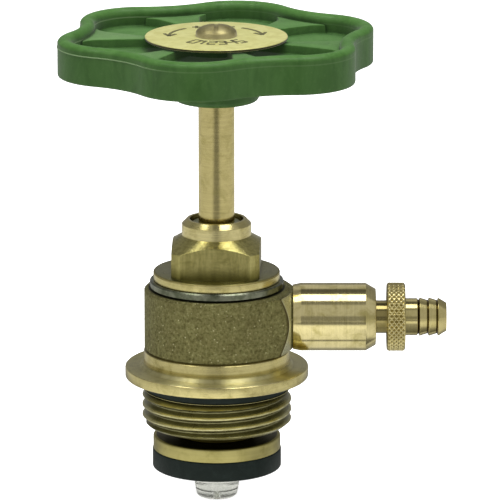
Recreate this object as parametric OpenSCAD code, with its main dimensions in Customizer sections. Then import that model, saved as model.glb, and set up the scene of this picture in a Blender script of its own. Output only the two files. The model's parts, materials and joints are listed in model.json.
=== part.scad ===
// Headwork of a screw-down stop valve with a handwheel and a swivelling drain cock.
// +Z runs up the stem, +X runs out along the drain. The origin is the centre of the flange's seat.

/* [Handwheel] */
// Radius at the tip of a grip lobe
wheel_tip_r = 36; // [35:0.5:39]
// Depth of the waist between two lobes
lobe_depth = 4.8; // [4:0.1:6]
// Radius of a lobe's rounded end
lobe_r = 13.7; // [13:0.1:14.5]
// Number of grip lobes
lobe_count = 6; // [5:1:7]
// Turn of the first lobe from +X, in degrees
lobe_turn = 18.8; // [0:0.2:60]
// Height of the wheel's rim
rim_h = 8.55; // [7:0.25:12]
// Thickness of the rim's wall
rim_w = 3.3; // [2.8:0.1:4]
// Rounding at the rim's lower edge
rim_edge = 0.5; // [0.3:0.1:1]
// Height of the rounded bead on top of the rim
bead_h = 1.6; // [1:0.1:2]
// Depth of the dish inside the rim
dish_depth = 3.2; // [2.4:0.1:4]
// Thickness of the web between rim and hub
web_t = 2.2; // [1.5:0.1:3]
// Radius of the hub
hub_r = 9.5; // [8.5:0.1:11]
// How far the hub reaches below the rim
hub_drop = 7.05; // [4:0.25:12]
// Rounding at the hub's lower edge
hub_edge = 1.2; // [0.5:0.1:2]
// Width of a spoke where it meets the rim
spoke_rim_w = 11.6; // [8:0.2:13]
// Width of a spoke where it meets the hub
spoke_hub_w = 1; // [0.6:0.2:3]
// Height of a spoke above the dish's floor
spoke_h = 1.35; // [0.8:0.05:1.4]

/* [Wheel plate and screw] */
// Radius of the brass plate
plate_r = 15.7; // [12:0.1:20]
// Thickness of the brass plate
plate_t = 0.65; // [0.5:0.05:1.2]
// Radius of the screw's domed head
screw_head_r = 4.55; // [3.5:0.05:6]
// Height of the screw's domed head
screw_head_h = 2.5; // [2:0.1:3]
// Radius of the screw's shank
screw_r = 2; // [1.6:0.1:2.2]
// Length of the screw's shank
screw_len = 9.5; // [6:0.5:10]
// Width of the screw's slot
slot_w = 0.9; // [0.6:0.1:1.4]
// Depth of the screw's slot
slot_depth = 1; // [0.6:0.1:1.4]

/* [Stem] */
// Radius of the stem's shaft
stem_r = 4; // [3.5:0.1:4.5]
// Width across the flats of the square that drives the wheel
square_af = 6; // [5.4:0.1:6.2]
// Height of the driving square
square_h = 10.2; // [9:0.2:10.6]
// Radius of the stem's threaded stretch
stem_thread_r = 6; // [5.2:0.1:6.6]
// Length of the stem's threaded stretch
stem_thread_len = 21; // [19:0.5:22]
// How far the threaded stretch reaches below the seat at rest
stem_thread_drop = 5; // [4.6:0.1:6]
// Radius of the neck under the thread
stem_neck_r = 3.2; // [2.5:0.1:3.4]
// Radius of the head that holds the valve disc
stem_head_r = 4.5; // [4.2:0.1:4.8]
// Height of that head
stem_head_h = 3.1; // [2:0.1:3.6]
// Stem left bare between the bonnet and the wheel's hub
stem_bare = 26.7; // [20:0.1:40]

/* [Bonnet] */
// Width of the flange outside the step
flange_w = 4.15; // [3:0.05:7]
// Thickness of the flange
flange_h = 2.5; // [2:0.1:4]
// How far the step that carries the swivel ring reaches past that ring
step_ledge = 0.15; // [0.1:0.05:0.6]
// Height of that step
step_h = 4; // [2:0.1:6]
// Fillet between flange and step
step_fillet = 0.7; // [0.3:0.1:1.2]
// Thickness of that disc
disc_t = 1.85; // [1.2:0.05:3]
// Width across the wrench flats
wrench_af = 19.5; // [18:0.1:20]
// Radius of the turned corners of the wrench block
wrench_corner_r = 12.4; // [11.5:0.1:13]
// Height of the wrench block
wrench_h = 8.3; // [6:0.1:12]
// Turn of the wrench block about the stem, in degrees
wrench_turn = -1.8; // [-10:0.2:10]
// Drop of the wrench block's top chamfer
wrench_chamfer = 2.8; // [1.5:0.1:3]
// Radius of the collar around the gland
collar_r = 7.7; // [7:0.1:9]
// Height of the collar
collar_h = 3.6; // [2:0.1:5]
// Chamfer on the collar's top edge
collar_chamfer = 1.1; // [0.5:0.1:1.2]

/* [Head thread] */
// Radius over the thread's crests, within the pipe thread's tolerance
thread_major_r = 16.6245; // [16.4445:0.009:16.6245]
// Depth of the thread
thread_depth = 1.479; // [1.3:0.001:1.479]
// Threads to the inch
threads_per_inch = 11; // [10:1:12]
// Width of a crest's flat
crest_flat = 0.45; // [0.3:0.05:0.6]
// Number of full crests
crest_count = 3; // [3:1:5]
// Length of the undercut above the thread
undercut_h = 2.45; // [2:0.05:3]
// How much slimmer the undercut is than the thread's roots
undercut_depth = 0.15; // [0.05:0.05:0.5]
// Thickness of the skirt's wall at the thread's roots
skirt_wall = 2.95; // [2.6:0.05:4]
// How far the skirt runs on below its last full thread
skirt_end = 1.35; // [1.3:0.05:2]

/* [Gland] */
// Radius of the gland's bore
gland_r = 5.9; // [5.7:0.05:6.2]
// Depth of the gland's bore below the collar's top
gland_depth = 8; // [7.6:0.2:10]
// Height of the gland bush
bush_h = 7.2; // [7:0.1:7.4]
// Height of the bush's slim top
bush_lip_h = 1.5; // [1:0.1:1.8]
// Radius of the bush's slim top
bush_lip_r = 5.2; // [5:0.05:5.5]

/* [Swivel ring and retaining ring] */
// Radius of the swivel ring
ring_r = 16.1; // [15.8:0.05:16.6]
// Thickness of the swivel ring's wall
ring_wall = 2; // [1.8:0.05:2.4]
// Height of the swivel ring
ring_h = 13.8; // [13:0.1:16]
// Chamfer on the ring's top edge
ring_chamfer = 0.5; // [0.3:0.1:0.8]
// How far the drain boss's face stands out from the swivel ring
boss_reach = 0.8; // [0.7:0.1:2]
// Half width of the drain boss at its face
boss_half_w = 7.7; // [7.4:0.1:8.5]
// Run of the boss's turned face per unit of radius
boss_cone = 0.56; // [0.3:0.02:0.9]
// How far the retaining ring stands out from the sleeve
clip_ledge = 0.8; // [0.6:0.05:1.2]
// Thickness of the retaining ring
clip_t = 1.75; // [1.2:0.05:2]
// Depth of the groove that holds the retaining ring
clip_groove_depth = 1.15; // [0.9:0.05:1.6]
// Opening of the retaining ring, in degrees
clip_opening = 28; // [16:1:60]
// Direction of the retaining ring's opening, in degrees from +X
clip_turn = 30; // [0:1:360]

/* [Drain body] */
// Radius of the drain body
drain_r = 7.55; // [7:0.05:8]
// Length of the drain body from the boss's face
drain_len = 18.45; // [16:0.25:24]
// Length of the chamfer at its outer end
drain_chamfer = 2.25; // [1.5:0.05:3]
// Radius of its outer face
drain_face_r = 6.25; // [5.6:0.05:6.6]
// Radius of the spigot in the swivel ring
spigot_r = 4.95; // [4:0.05:5.5]
// Length of that spigot
spigot_len = 1.9; // [1.6:0.05:2.1]
// Radius of the water inlet
inlet_r = 1.6; // [1.2:0.1:2]
// Radius of the raised seat
seat_r = 2.8; // [2.4:0.1:3.2]
// Distance from the boss's face to the chamber's floor
chamber_x = 3.1; // [2.5:0.1:5]
// Height of the raised seat
seat_h = 0.6; // [0.3:0.1:1]

/* [Drain nozzle] */
// Radius of the threaded stretch inside the drain body
nozzle_r = 4; // [3.8:0.05:4.4]
// Radius of the neck in front of the knurled ring
neck_r = 3.67; // [3.2:0.01:3.7]
// Neck seen between the body and the knurled ring
neck_bare = 2.4; // [2:0.1:4]
// Neck inside the body at rest
neck_inside = 1.4; // [0.5:0.1:3]
// Radius over the knurled ring
knurl_r = 7.65; // [7:0.05:9]
// Width of the knurled ring
knurl_w = 4.1; // [3:0.1:6]
// Depth of the knurl
knurl_depth = 0.4; // [0.2:0.05:0.6]
// Number of knurl teeth
knurl_teeth = 44; // [30:1:60]
// Radius of the hose tail's smooth land
tail_r = 4.15; // [4:0.05:4.2]
// Length of that land
tail_len = 3.2; // [2:0.1:6]
// Number of barbs
barb_count = 3; // [2:1:5]
// Length of one barb
barb_pitch = 2.05; // [1.6:0.05:3]
// Radius at a barb's sharp edge
barb_r = 4.3; // [4.2:0.05:4.35]
// Radius at a barb's foot
barb_foot_r = 3.8; // [3.5:0.05:4]
// Radius of the hose tail's mouth
mouth_r = 3.15; // [2.8:0.05:3.5]
// Radius of the bore through the hose tail
hose_bore_r = 2; // [1.5:0.1:2.2]
// Thickness of the rubber seal on the nozzle's tip
tip_seal_t = 1.35; // [1:0.05:2]
// Radius of that seal
tip_seal_r = 3.3; // [3:0.1:3.6]

/* [Valve disc] */
// Gap between the skirt and the valve disc at rest
disc_gap = 2.7; // [2.6:0.1:6]
// How far the brass disc holder's edge stands in from the rubber seal's
holder_inset = 0.15; // [0:0.05:1]
// Thickness of the disc holder's plate
holder_t = 3; // [2.6:0.1:5]
// Radius of the holder's hub
holder_hub_r = 8.5; // [7.5:0.1:9.5]
// Height of the holder's hub
holder_hub_h = 6.2; // [5.6:0.1:6.3]
// Radius of the rubber valve seal
seal_r = 14.35; // [13:0.05:15]
// Thickness of the rubber valve seal
seal_t = 4.3; // [3:0.1:6]
// Radius of the clear nose
nose_r = 5.15; // [4:0.05:7]
// Radius of the nose's end
nose_end_r = 3.9; // [3:0.1:4.5]
// Length of the clear nose
nose_len = 7; // [5:0.1:10]
// Radius of the nose's shank
shank_r = 2.45; // [2:0.05:2.8]
// Length of the nose's shank above the seal
shank_len = 2.3; // [1.5:0.1:2.6]

/* [Travel and fits] */
// How far the valve disc rises from rest to fully open
open_travel = 2; // [1:0.1:2]
// Radial clearance of parts that turn or slide
run_fit = 0.05; // [0.02:0.01:0.1]
// End clearance of parts that turn against a face
face_fit = 0.05; // [0.02:0.01:0.1]
// Clearance over the swivel ring
swivel_play = 0.1; // [0.05:0.05:0.3]

/* [Hidden] */
$fn = 96;
over = 1;
// Where a rounding made of two faces bends, as a share of its size
bend = 0.3;

// Radii round the stem that follow the sizes above
wheel_waist_r = wheel_tip_r - lobe_depth;
sleeve_r = ring_r - ring_wall - run_fit;
disc_r = sleeve_r;
clip_r = sleeve_r + clip_ledge;
clip_groove_r = sleeve_r - clip_groove_depth;
step_r = ring_r + step_ledge;
flange_r = step_r + flange_w;
thread_minor_r = thread_major_r - thread_depth;
undercut_r = thread_minor_r - undercut_depth;
cavity_r = thread_minor_r - skirt_wall;
boss_x = ring_r + boss_reach;
holder_r = seal_r - holder_inset;
inch = 25.4;
thread_pitch = inch / threads_per_inch;

// Heights along the stem, from the flange's seat up
z_step = flange_h + step_h;
z_ring = z_step + face_fit;
z_clip = z_ring + ring_h + swivel_play;
z_disc = z_clip + clip_t + face_fit;
z_wrench = z_disc + disc_t;
z_collar = z_wrench + wrench_h;
z_top = z_collar + collar_h;
z_gland = z_top - gland_depth;
z_bush_top = z_gland + bush_h;
z_drain = z_ring + ring_h / 2;
z_hub = z_top + stem_bare;
z_rim = z_hub + hub_drop;
z_rim_top = z_rim + rim_h;
z_floor = z_rim_top - dish_depth;
z_spoke = z_floor + spoke_h;
z_plate = z_spoke + face_fit;
z_head = z_plate + plate_t;
square_gap = 0.3;
z_square_top = z_plate - square_gap;
z_square = z_square_top - square_h;

// Heights below the seat
root_flat = 0.3;
gasket_recess = 0.15;
recess_margin = 0.3;
recess_r = thread_major_r + recess_margin;
z_crest = -undercut_h - thread_pitch / 2;
z_last = z_crest - (crest_count - 1) * thread_pitch;
z_skirt = z_last - thread_pitch / 2 - skirt_end;
z_holder = z_skirt - disc_gap;
z_holder_under = z_holder - holder_t;
z_hub_top = z_holder + holder_hub_h;
cavity_spare = 0.7;
z_cavity = z_hub_top + open_travel + cavity_spare;
z_seal_under = z_holder_under - seal_t;
z_stem_thread = -stem_thread_drop;
z_stem_shoulder = z_stem_thread + stem_thread_len;
bore_spare = 0.2;
z_thread_bore = z_stem_shoulder + open_travel + bore_spare;

// Stem head, its clip and its pocket in the holder
stem_clip_t = 1;
stem_clip_depth = 1.2;
stem_clip_bite = 0.7;
z_stem_clip = z_hub_top - stem_clip_depth - stem_clip_t;
z_stem_head = z_stem_clip - 2 * face_fit;
z_stem_end = z_stem_head - stem_head_h;
z_pocket = z_stem_end - 2 * face_fit;

// Seals in the gland
stem_ring_w = 0.47;
bush_r = gland_r - run_fit;
stem_groove_depth = 1;
bush_groove_r = stem_r + run_fit + stem_groove_depth;
bush_ring_w = 0.45;
stem_ring_margin = 1.3;
stem_ring_step = 1.8;
z_stem_ring = z_gland + stem_ring_margin;
z_stem_rings = [z_stem_ring, z_stem_ring + stem_ring_step];
bush_ring_up = 4.9;
z_bush_ring = z_gland + bush_ring_up;
groove_spare = 0.2;

// Seals of the swivel
swivel_ring_w = 0.7;
swivel_groove_depth = 1.45;
swivel_groove_r = sleeve_r - swivel_groove_depth;
swivel_groove_h = 2 * swivel_ring_w + 2 * groove_spare;
swivel_ring_inset = 2.05;
z_swivel_rings = [z_ring + swivel_ring_inset, z_ring + ring_h - swivel_ring_inset];
water_groove_depth = 1.9;
water_groove_r = sleeve_r - water_groove_depth;
water_groove_h = 4.6;
water_hole_r = 1.1;
water_hole_at = (stem_thread_r + run_fit + water_groove_r) / 2;
water_hole_count = 4;
water_hole_turn = 45;

// Places along the drain, from the stem axis out
x_spigot = boss_x - spigot_len;
x_chamber = boss_x + chamber_x;
x_seat = x_chamber + seat_h;
x_drain_end = boss_x + drain_len;
x_tip_seal = x_seat + face_fit;
x_tip = x_tip_seal + tip_seal_t + face_fit;
x_knurl = x_drain_end + neck_bare;
x_tail = x_knurl + knurl_w;
x_barbs = x_tail + tail_len;
barb_step = 0.05;
mouth_trim = 0.15;
x_mouth = x_barbs + barb_count * barb_pitch - mouth_trim;
tip_pin_r = 1.2;
tip_pin_len = 1;
nozzle_ring_w = 0.42;
nozzle_groove_depth = 0.85;
nozzle_groove_r = nozzle_r - nozzle_groove_depth;
nozzle_ring_back = 4.6;
x_nozzle_ring = x_tip + nozzle_ring_back;
cross_hole_r = 0.9;
cross_back = 1.9;
x_cross = x_tip + cross_back;
hose_bore_back = 0.9;
x_hose_bore = x_tip + hose_bore_back;

brass = "#b8a35a";
cast_brass = "#8d8350";
steel = "#6f7069";
rubber = "#1c2426";
green = "#3f7a3c";
pale_brass = "#d8c56a";
clear = "#dfe3df";

// Handwheel outline: lobes of lobe_r joined by round waists that touch them
half_step = 180 / lobe_count;
lobe_at = wheel_tip_r - lobe_r;
waist_r = (lobe_at ^ 2 + wheel_waist_r ^ 2 - 2 * lobe_at * wheel_waist_r * cos(half_step) - lobe_r ^ 2)
    / (2 * lobe_r - 2 * wheel_waist_r + 2 * lobe_at * cos(half_step));
waist_at = wheel_waist_r + waist_r;
lobe_swing = atan2(waist_at * sin(half_step), waist_at * cos(half_step) - lobe_at);
waist_swing = lobe_swing - half_step;
lobe_steps = 16;
waist_steps = 8;

function turned(p, a) = [p[0] * cos(a) - p[1] * sin(a), p[0] * sin(a) + p[1] * cos(a)];
function lobe_points(inset) = [
    for (i = [0 : lobe_steps - 1])
        let (a = lobe_swing * (2 * i / lobe_steps - 1))
        [lobe_at + (lobe_r - inset) * cos(a), (lobe_r - inset) * sin(a)]
];
function waist_points(inset) = [
    for (i = [0 : waist_steps - 1])
        let (a = waist_swing * (2 * i / waist_steps - 1))
        turned([waist_at - (waist_r + inset) * cos(a), (waist_r + inset) * sin(a)], half_step)
];
function wheel_outline(inset) = [
    for (k = [0 : lobe_count - 1], p = concat(lobe_points(inset), waist_points(inset)))
        turned(p, lobe_turn + 2 * half_step * k)
];

// A bar of round section turned into a ring, for the O-rings
module o_ring(r_mid, w) {
    rotate_extrude()
        translate([r_mid, 0])
            circle(r = w, $fn = 32);
}

// Lays a shape drawn up the Z axis along the drain instead
module along_drain() {
    translate([0, 0, z_drain])
        rotate([0, 90, 0])
            children();
}

// Removes a wedge of the given opening from a ring
module ring_opening(reach, opening, turn, low, high) {
    half = opening / 2;
    rotate([0, 0, turn])
        translate([0, 0, low])
            linear_extrude(high - low)
                polygon([[0, 0], [reach, -reach * tan(half)], [reach, reach * tan(half)]]);
}

function crest_points(z) = [
    [thread_minor_r, z - (thread_pitch - root_flat) / 2],
    [thread_major_r, z - crest_flat / 2],
    [thread_major_r, z + crest_flat / 2],
    [thread_minor_r, z + (thread_pitch - root_flat) / 2]
];
function thread_points() = [
    for (i = [crest_count - 1 : -1 : 0], p = crest_points(z_crest - i * thread_pitch)) p
];
function groove_points(z, h, r) = [
    [sleeve_r, z - h / 2], [r, z - h / 2], [r, z + h / 2], [sleeve_r, z + h / 2]
];

module bonnet_body() {
    lead_slim = 0.1;
    lead_ridge = 0.6;
    lead_cone_h = 0.9;
    lead_end_h = 1.25;
    edge = 0.35;
    disc_under_edge = 0.1;
    disc_top_edge = 0.15;
    rotate_extrude()
        polygon(concat(
            [[0, z_skirt], [undercut_r - lead_slim, z_skirt]],
            [[thread_minor_r + lead_ridge, z_skirt + lead_cone_h]],
            [[thread_minor_r, z_skirt + lead_end_h]],
            thread_points(),
            [[undercut_r, -undercut_h], [undercut_r, gasket_recess], [recess_r, gasket_recess]],
            [[recess_r, 0], [flange_r - edge, 0], [flange_r, edge]],
            [[flange_r, flange_h - edge], [flange_r - edge, flange_h]],
            [[step_r + step_fillet, flange_h]],
            [[step_r + step_fillet * bend, flange_h + step_fillet * bend]],
            [[step_r, flange_h + step_fillet], [step_r, z_step], [sleeve_r, z_step]],
            groove_points(z_swivel_rings[0], swivel_groove_h, swivel_groove_r),
            groove_points(z_drain, water_groove_h, water_groove_r),
            groove_points(z_swivel_rings[1], swivel_groove_h, swivel_groove_r),
            [[sleeve_r, z_clip], [clip_groove_r, z_clip], [clip_groove_r, z_disc]],
            [[disc_r - disc_under_edge, z_disc], [disc_r, z_disc + disc_under_edge]],
            [[disc_r, z_wrench - disc_top_edge], [disc_r - disc_top_edge, z_wrench], [0, z_wrench]]
        ));
}

module wrench_block() {
    chamfer_slope = 30;
    top_r = wrench_corner_r - wrench_chamfer / tan(chamfer_slope);
    intersection() {
        rotate([0, 0, wrench_turn])
            translate([-wrench_af / 2, -wrench_af / 2, z_wrench - over])
                cube([wrench_af, wrench_af, wrench_h + over]);
        rotate_extrude()
            polygon([
                [0, z_wrench - over], [wrench_corner_r, z_wrench - over],
                [wrench_corner_r, z_collar - wrench_chamfer], [top_r, z_collar], [0, z_collar]
            ]);
    }
}

module bonnet() {
    color(brass)
        difference() {
            union() {
                bonnet_body();
                wrench_block();
                rotate_extrude()
                    polygon([
                        [0, z_collar - over], [collar_r, z_collar - over],
                        [collar_r, z_top - collar_chamfer], [collar_r - collar_chamfer, z_top], [0, z_top]
                    ]);
            }
            translate([0, 0, z_skirt - over])
                cylinder(r = cavity_r, h = z_cavity - z_skirt + over);
            translate([0, 0, z_cavity - over])
                cylinder(r = stem_thread_r + run_fit, h = z_thread_bore - z_cavity + over);
            translate([0, 0, z_thread_bore - over])
                cylinder(r = stem_r + run_fit, h = z_gland - z_thread_bore + 2 * over);
            translate([0, 0, z_gland])
                cylinder(r = gland_r, h = gland_depth + over);
            for (k = [0 : water_hole_count - 1])
                rotate([0, 0, water_hole_turn + k * 360 / water_hole_count]) {
                    translate([water_hole_at, 0, z_cavity - over])
                        cylinder(r = water_hole_r, h = z_drain - z_cavity + over, $fn = 32);
                    translate([water_hole_at, 0, z_drain])
                        rotate([0, 90, 0])
                            cylinder(r = water_hole_r, h = water_groove_r - water_hole_at + over, $fn = 32);
                }
        }
}

module gland_bush() {
    color(brass)
        difference() {
            union() {
                translate([0, 0, z_gland])
                    cylinder(r = bush_r, h = bush_h - bush_lip_h);
                translate([0, 0, z_gland])
                    cylinder(r = bush_lip_r, h = bush_h);
            }
            translate([0, 0, z_gland - over])
                cylinder(r = stem_r + run_fit, h = bush_h + 2 * over);
            for (z = z_stem_rings)
                translate([0, 0, z - stem_ring_w - groove_spare])
                    cylinder(r = bush_groove_r, h = 2 * (stem_ring_w + groove_spare));
            translate([0, 0, z_bush_ring - bush_ring_w - groove_spare / 2])
                difference() {
                    cylinder(r = bush_r + over, h = 2 * bush_ring_w + groove_spare);
                    translate([0, 0, -over])
                        cylinder(
                            r = bush_r - 2 * bush_ring_w,
                            h = 2 * bush_ring_w + groove_spare + 2 * over
                        );
                }
        }
}

module bush_o_ring() {
    color(rubber)
        translate([0, 0, z_bush_ring])
            o_ring(bush_r - bush_ring_w, bush_ring_w);
}

module stem_o_rings() {
    color(rubber)
        for (z = z_stem_rings)
            translate([0, 0, z])
                o_ring(bush_groove_r - stem_ring_w, stem_ring_w);
}

module swivel_o_rings() {
    color(rubber)
        for (z = z_swivel_rings)
            translate([0, 0, z])
                o_ring(swivel_groove_r + swivel_ring_w, swivel_ring_w);
}

module retaining_ring() {
    edge = 0.3;
    color(steel)
        difference() {
            rotate_extrude()
                polygon([
                    [clip_groove_r, z_clip], [clip_r - edge, z_clip], [clip_r, z_clip + edge],
                    [clip_r, z_clip + clip_t - edge], [clip_r - edge, z_clip + clip_t],
                    [clip_groove_r, z_clip + clip_t]
                ]);
            ring_opening(2 * clip_r, clip_opening, clip_turn, z_clip - over, z_clip + clip_t + over);
        }
}

module head_gasket() {
    gasket_inset = 0.4;
    gasket_r = thread_major_r - gasket_inset;
    edge = 0.45;
    color(rubber)
        rotate_extrude()
            polygon([
                [undercut_r, gasket_recess], [undercut_r, face_fit - undercut_h],
                [gasket_r - edge, face_fit - undercut_h], [gasket_r, face_fit - undercut_h + edge],
                [gasket_r, gasket_recess]
            ]);
}

module swivel_ring() {
    bore = sleeve_r + run_fit;
    edge = 0.25;
    corner = norm([boss_x, boss_half_w]);
    touch = acos(ring_r / corner) + atan2(boss_half_w, boss_x);
    far = 3 * ring_r;
    z_ring_top = z_ring + ring_h;
    face_skin = 0.01;
    x_face = boss_x + face_skin;
    face_margin = 0.8;
    face_r = boss_half_w - face_margin;
    color(cast_brass)
        difference() {
            union() {
                rotate_extrude()
                    polygon([
                        [0, z_ring], [ring_r - edge, z_ring], [ring_r, z_ring + edge],
                        [ring_r, z_ring_top - ring_chamfer],
                        [ring_r - ring_chamfer, z_ring_top], [0, z_ring_top]
                    ]);
                translate([0, 0, z_ring + edge])
                    linear_extrude(ring_h - edge - ring_chamfer)
                        polygon([
                            [0, 0], [ring_r * cos(touch), -ring_r * sin(touch)], [boss_x, -boss_half_w],
                            [boss_x, boss_half_w], [ring_r * cos(touch), ring_r * sin(touch)]
                        ]);
            }
            translate([0, 0, z_ring - over])
                cylinder(r = bore, h = ring_h + 2 * over);
            along_drain() {
                rotate_extrude()
                    polygon([
                        [face_r, x_face], [far, x_face], [far, boss_x - boss_cone * (far - face_r)]
                    ]);
                translate([0, 0, sleeve_r / 2])
                    cylinder(r = inlet_r, h = boss_x);
                translate([0, 0, x_spigot])
                    cylinder(r = spigot_r, h = spigot_len + over);
            }
        }
}

module drain_body() {
    inner_taper = 1.8;
    inner_drop = 0.6;
    color(brass)
        along_drain()
            difference() {
                rotate_extrude()
                    polygon([
                        [0, x_spigot], [spigot_r, x_spigot], [spigot_r, boss_x],
                        [drain_r - inner_drop, boss_x], [drain_r, boss_x + inner_taper],
                        [drain_r, x_drain_end - drain_chamfer],
                        [drain_face_r, x_drain_end], [0, x_drain_end]
                    ]);
                translate([0, 0, x_spigot - over])
                    cylinder(r = inlet_r, h = x_drain_end);
                translate([0, 0, x_seat])
                    cylinder(r = nozzle_r + run_fit, h = drain_len);
                translate([0, 0, x_chamber])
                    difference() {
                        cylinder(r = nozzle_r + run_fit, h = seat_h + over);
                        translate([0, 0, -over])
                            cylinder(r = seat_r, h = seat_h + over);
                    }
            }
}

function barb_points(i) = [
    [barb_foot_r, x_barbs + i * barb_pitch - barb_step],
    [barb_r, x_barbs + i * barb_pitch]
];

module drain_nozzle() {
    groove_h = 2 * nozzle_ring_w + groove_spare;
    edge = 0.35;
    skin = 0.01;
    color(brass)
        along_drain()
            difference() {
                union() {
                    rotate_extrude()
                        polygon(concat(
                            [[0, x_tip - tip_pin_len], [tip_pin_r, x_tip - tip_pin_len]],
                            [[tip_pin_r, x_tip]],
                            [[nozzle_r, x_tip], [nozzle_r, x_nozzle_ring - groove_h / 2]],
                            [[nozzle_groove_r, x_nozzle_ring - groove_h / 2]],
                            [[nozzle_groove_r, x_nozzle_ring + groove_h / 2]],
                            [[nozzle_r, x_nozzle_ring + groove_h / 2]],
                            [[nozzle_r, x_drain_end - neck_inside]],
                            [[neck_r, x_drain_end - neck_inside], [neck_r, x_knurl + edge]],
                            [[tail_r, x_knurl + edge], [tail_r, x_barbs - 2 * barb_step]],
                            [for (i = [0 : barb_count - 1], p = barb_points(i)) p],
                            [[mouth_r, x_mouth], [0, x_mouth]]
                        ));
                    intersection() {
                        translate([0, 0, x_knurl])
                            linear_extrude(knurl_w)
                                polygon([
                                    for (i = [0 : 2 * knurl_teeth - 1])
                                        let (
                                            r = knurl_r - (i % 2) * knurl_depth,
                                            a = 180 * i / knurl_teeth
                                        )
                                        [r * cos(a), r * sin(a)]
                                ]);
                        rotate_extrude()
                            polygon([
                                [0, x_knurl], [knurl_r - edge, x_knurl], [knurl_r + skin, x_knurl + edge],
                                [knurl_r + skin, x_tail - edge], [knurl_r - edge, x_tail], [0, x_tail]
                            ]);
                    }
                }
                translate([0, 0, x_hose_bore])
                    cylinder(r = hose_bore_r, h = x_mouth);
                translate([0, 0, x_cross])
                    rotate([90, 0, 0])
                        translate([0, 0, -nozzle_r - over])
                            cylinder(r = cross_hole_r, h = 2 * (nozzle_r + over), $fn = 32);
            }
}

module nozzle_o_ring() {
    color(rubber)
        along_drain()
            translate([0, 0, x_nozzle_ring])
                o_ring(nozzle_groove_r + nozzle_ring_w, nozzle_ring_w);
}

module nozzle_seal() {
    color(rubber)
        along_drain()
            difference() {
                translate([0, 0, x_tip_seal])
                    cylinder(r = tip_seal_r, h = tip_seal_t);
                translate([0, 0, x_tip - tip_pin_len - face_fit])
                    cylinder(r = tip_pin_r + run_fit, h = tip_seal_t);
            }
}

module stem() {
    hole_spare = 0.6;
    screw_hole = screw_len - plate_t + hole_spare;
    color(brass)
        difference() {
            union() {
                translate([0, 0, z_stem_end])
                    cylinder(r = stem_head_r, h = stem_head_h);
                translate([0, 0, z_stem_end])
                    cylinder(r = stem_neck_r, h = z_stem_thread - z_stem_end + over);
                translate([0, 0, z_stem_thread])
                    cylinder(r = stem_thread_r, h = stem_thread_len);
                translate([0, 0, z_stem_shoulder - over])
                    cylinder(r = stem_r, h = z_square - z_stem_shoulder + over);
                intersection() {
                    translate([-square_af / 2, -square_af / 2, z_square - over])
                        cube([square_af, square_af, square_h + over]);
                    translate([0, 0, z_square - over])
                        cylinder(r = stem_r, h = square_h + over);
                }
            }
            translate([0, 0, z_square_top - screw_hole])
                cylinder(r = screw_r + run_fit, h = screw_hole + over);
        }
}

module rim() {
    edge_steps = 8;
    profile = concat(
        [[rim_w, z_rim], [rim_edge, z_rim], [0, z_rim + rim_edge]],
        [
            for (i = [0 : edge_steps])
                let (a = 180 - 180 * i / edge_steps)
                [rim_w / 2 + rim_w / 2 * cos(a), z_rim_top - bead_h + bead_h * sin(a)]
        ]
    );
    rings = [for (p = profile) [for (q = wheel_outline(p[0])) [q[0], q[1], p[1]]]];
    n = len(rings[0]);
    m = len(profile);
    polyhedron(
        points = [for (ring = rings, p = ring) p],
        faces = [
            for (j = [0 : m - 1], i = [0 : n - 1])
                [j * n + i, ((j + 1) % m) * n + i, ((j + 1) % m) * n + (i + 1) % n, j * n + (i + 1) % n]
        ],
        convexity = 6
    );
}

module handwheel() {
    lap = 0.6;
    socket = square_af + 2 * run_fit;
    spoke_r = wheel_waist_r - rim_w + lap;
    color(green)
        difference() {
            union() {
                rim();
                translate([0, 0, z_floor - web_t])
                    linear_extrude(web_t)
                        polygon(wheel_outline(rim_w - lap));
                rotate_extrude()
                    polygon([
                        [0, z_hub], [hub_r - hub_edge, z_hub],
                        [hub_r - bend * hub_edge, z_hub + bend * hub_edge],
                        [hub_r, z_hub + hub_edge], [hub_r, z_plate], [0, z_plate]
                    ]);
                for (k = [0 : lobe_count - 1])
                    rotate([0, 0, lobe_turn + half_step * (2 * k + 1)])
                        translate([0, 0, z_floor - web_t / 2])
                            linear_extrude(web_t / 2 + spoke_h)
                                polygon([
                                    [hub_r - lap, -spoke_hub_w / 2], [spoke_r, -spoke_rim_w / 2],
                                    [spoke_r, spoke_rim_w / 2], [hub_r - lap, spoke_hub_w / 2]
                                ]);
            }
            translate([0, 0, z_hub - over])
                cylinder(r = stem_r + run_fit, h = z_square - z_hub + over);
            translate([-socket / 2, -socket / 2, z_square - over])
                cube([socket, socket, z_plate - z_square + 2 * over]);
        }
}

module wheel_plate() {
    color(pale_brass)
        translate([0, 0, z_plate])
            difference() {
                cylinder(r = plate_r, h = plate_t);
                translate([0, 0, -over])
                    cylinder(r = screw_r + run_fit, h = plate_t + 2 * over);
            }
}

module wheel_screw() {
    flat = 0.2;
    dome = screw_head_h - flat;
    dome_r = (screw_head_r ^ 2 + dome ^ 2) / (2 * dome);
    color(brass)
        difference() {
            union() {
                intersection() {
                    translate([0, 0, z_head + screw_head_h - dome_r])
                        sphere(r = dome_r);
                    translate([0, 0, z_head])
                        cylinder(r = screw_head_r, h = screw_head_h + over);
                }
                translate([0, 0, z_head - screw_len])
                    cylinder(r = screw_r, h = screw_len + flat);
            }
            translate([-slot_w / 2, -screw_head_r - over, z_head + screw_head_h - slot_depth])
                cube([slot_w, 2 * (screw_head_r + over), slot_depth + over]);
        }
}

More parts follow.
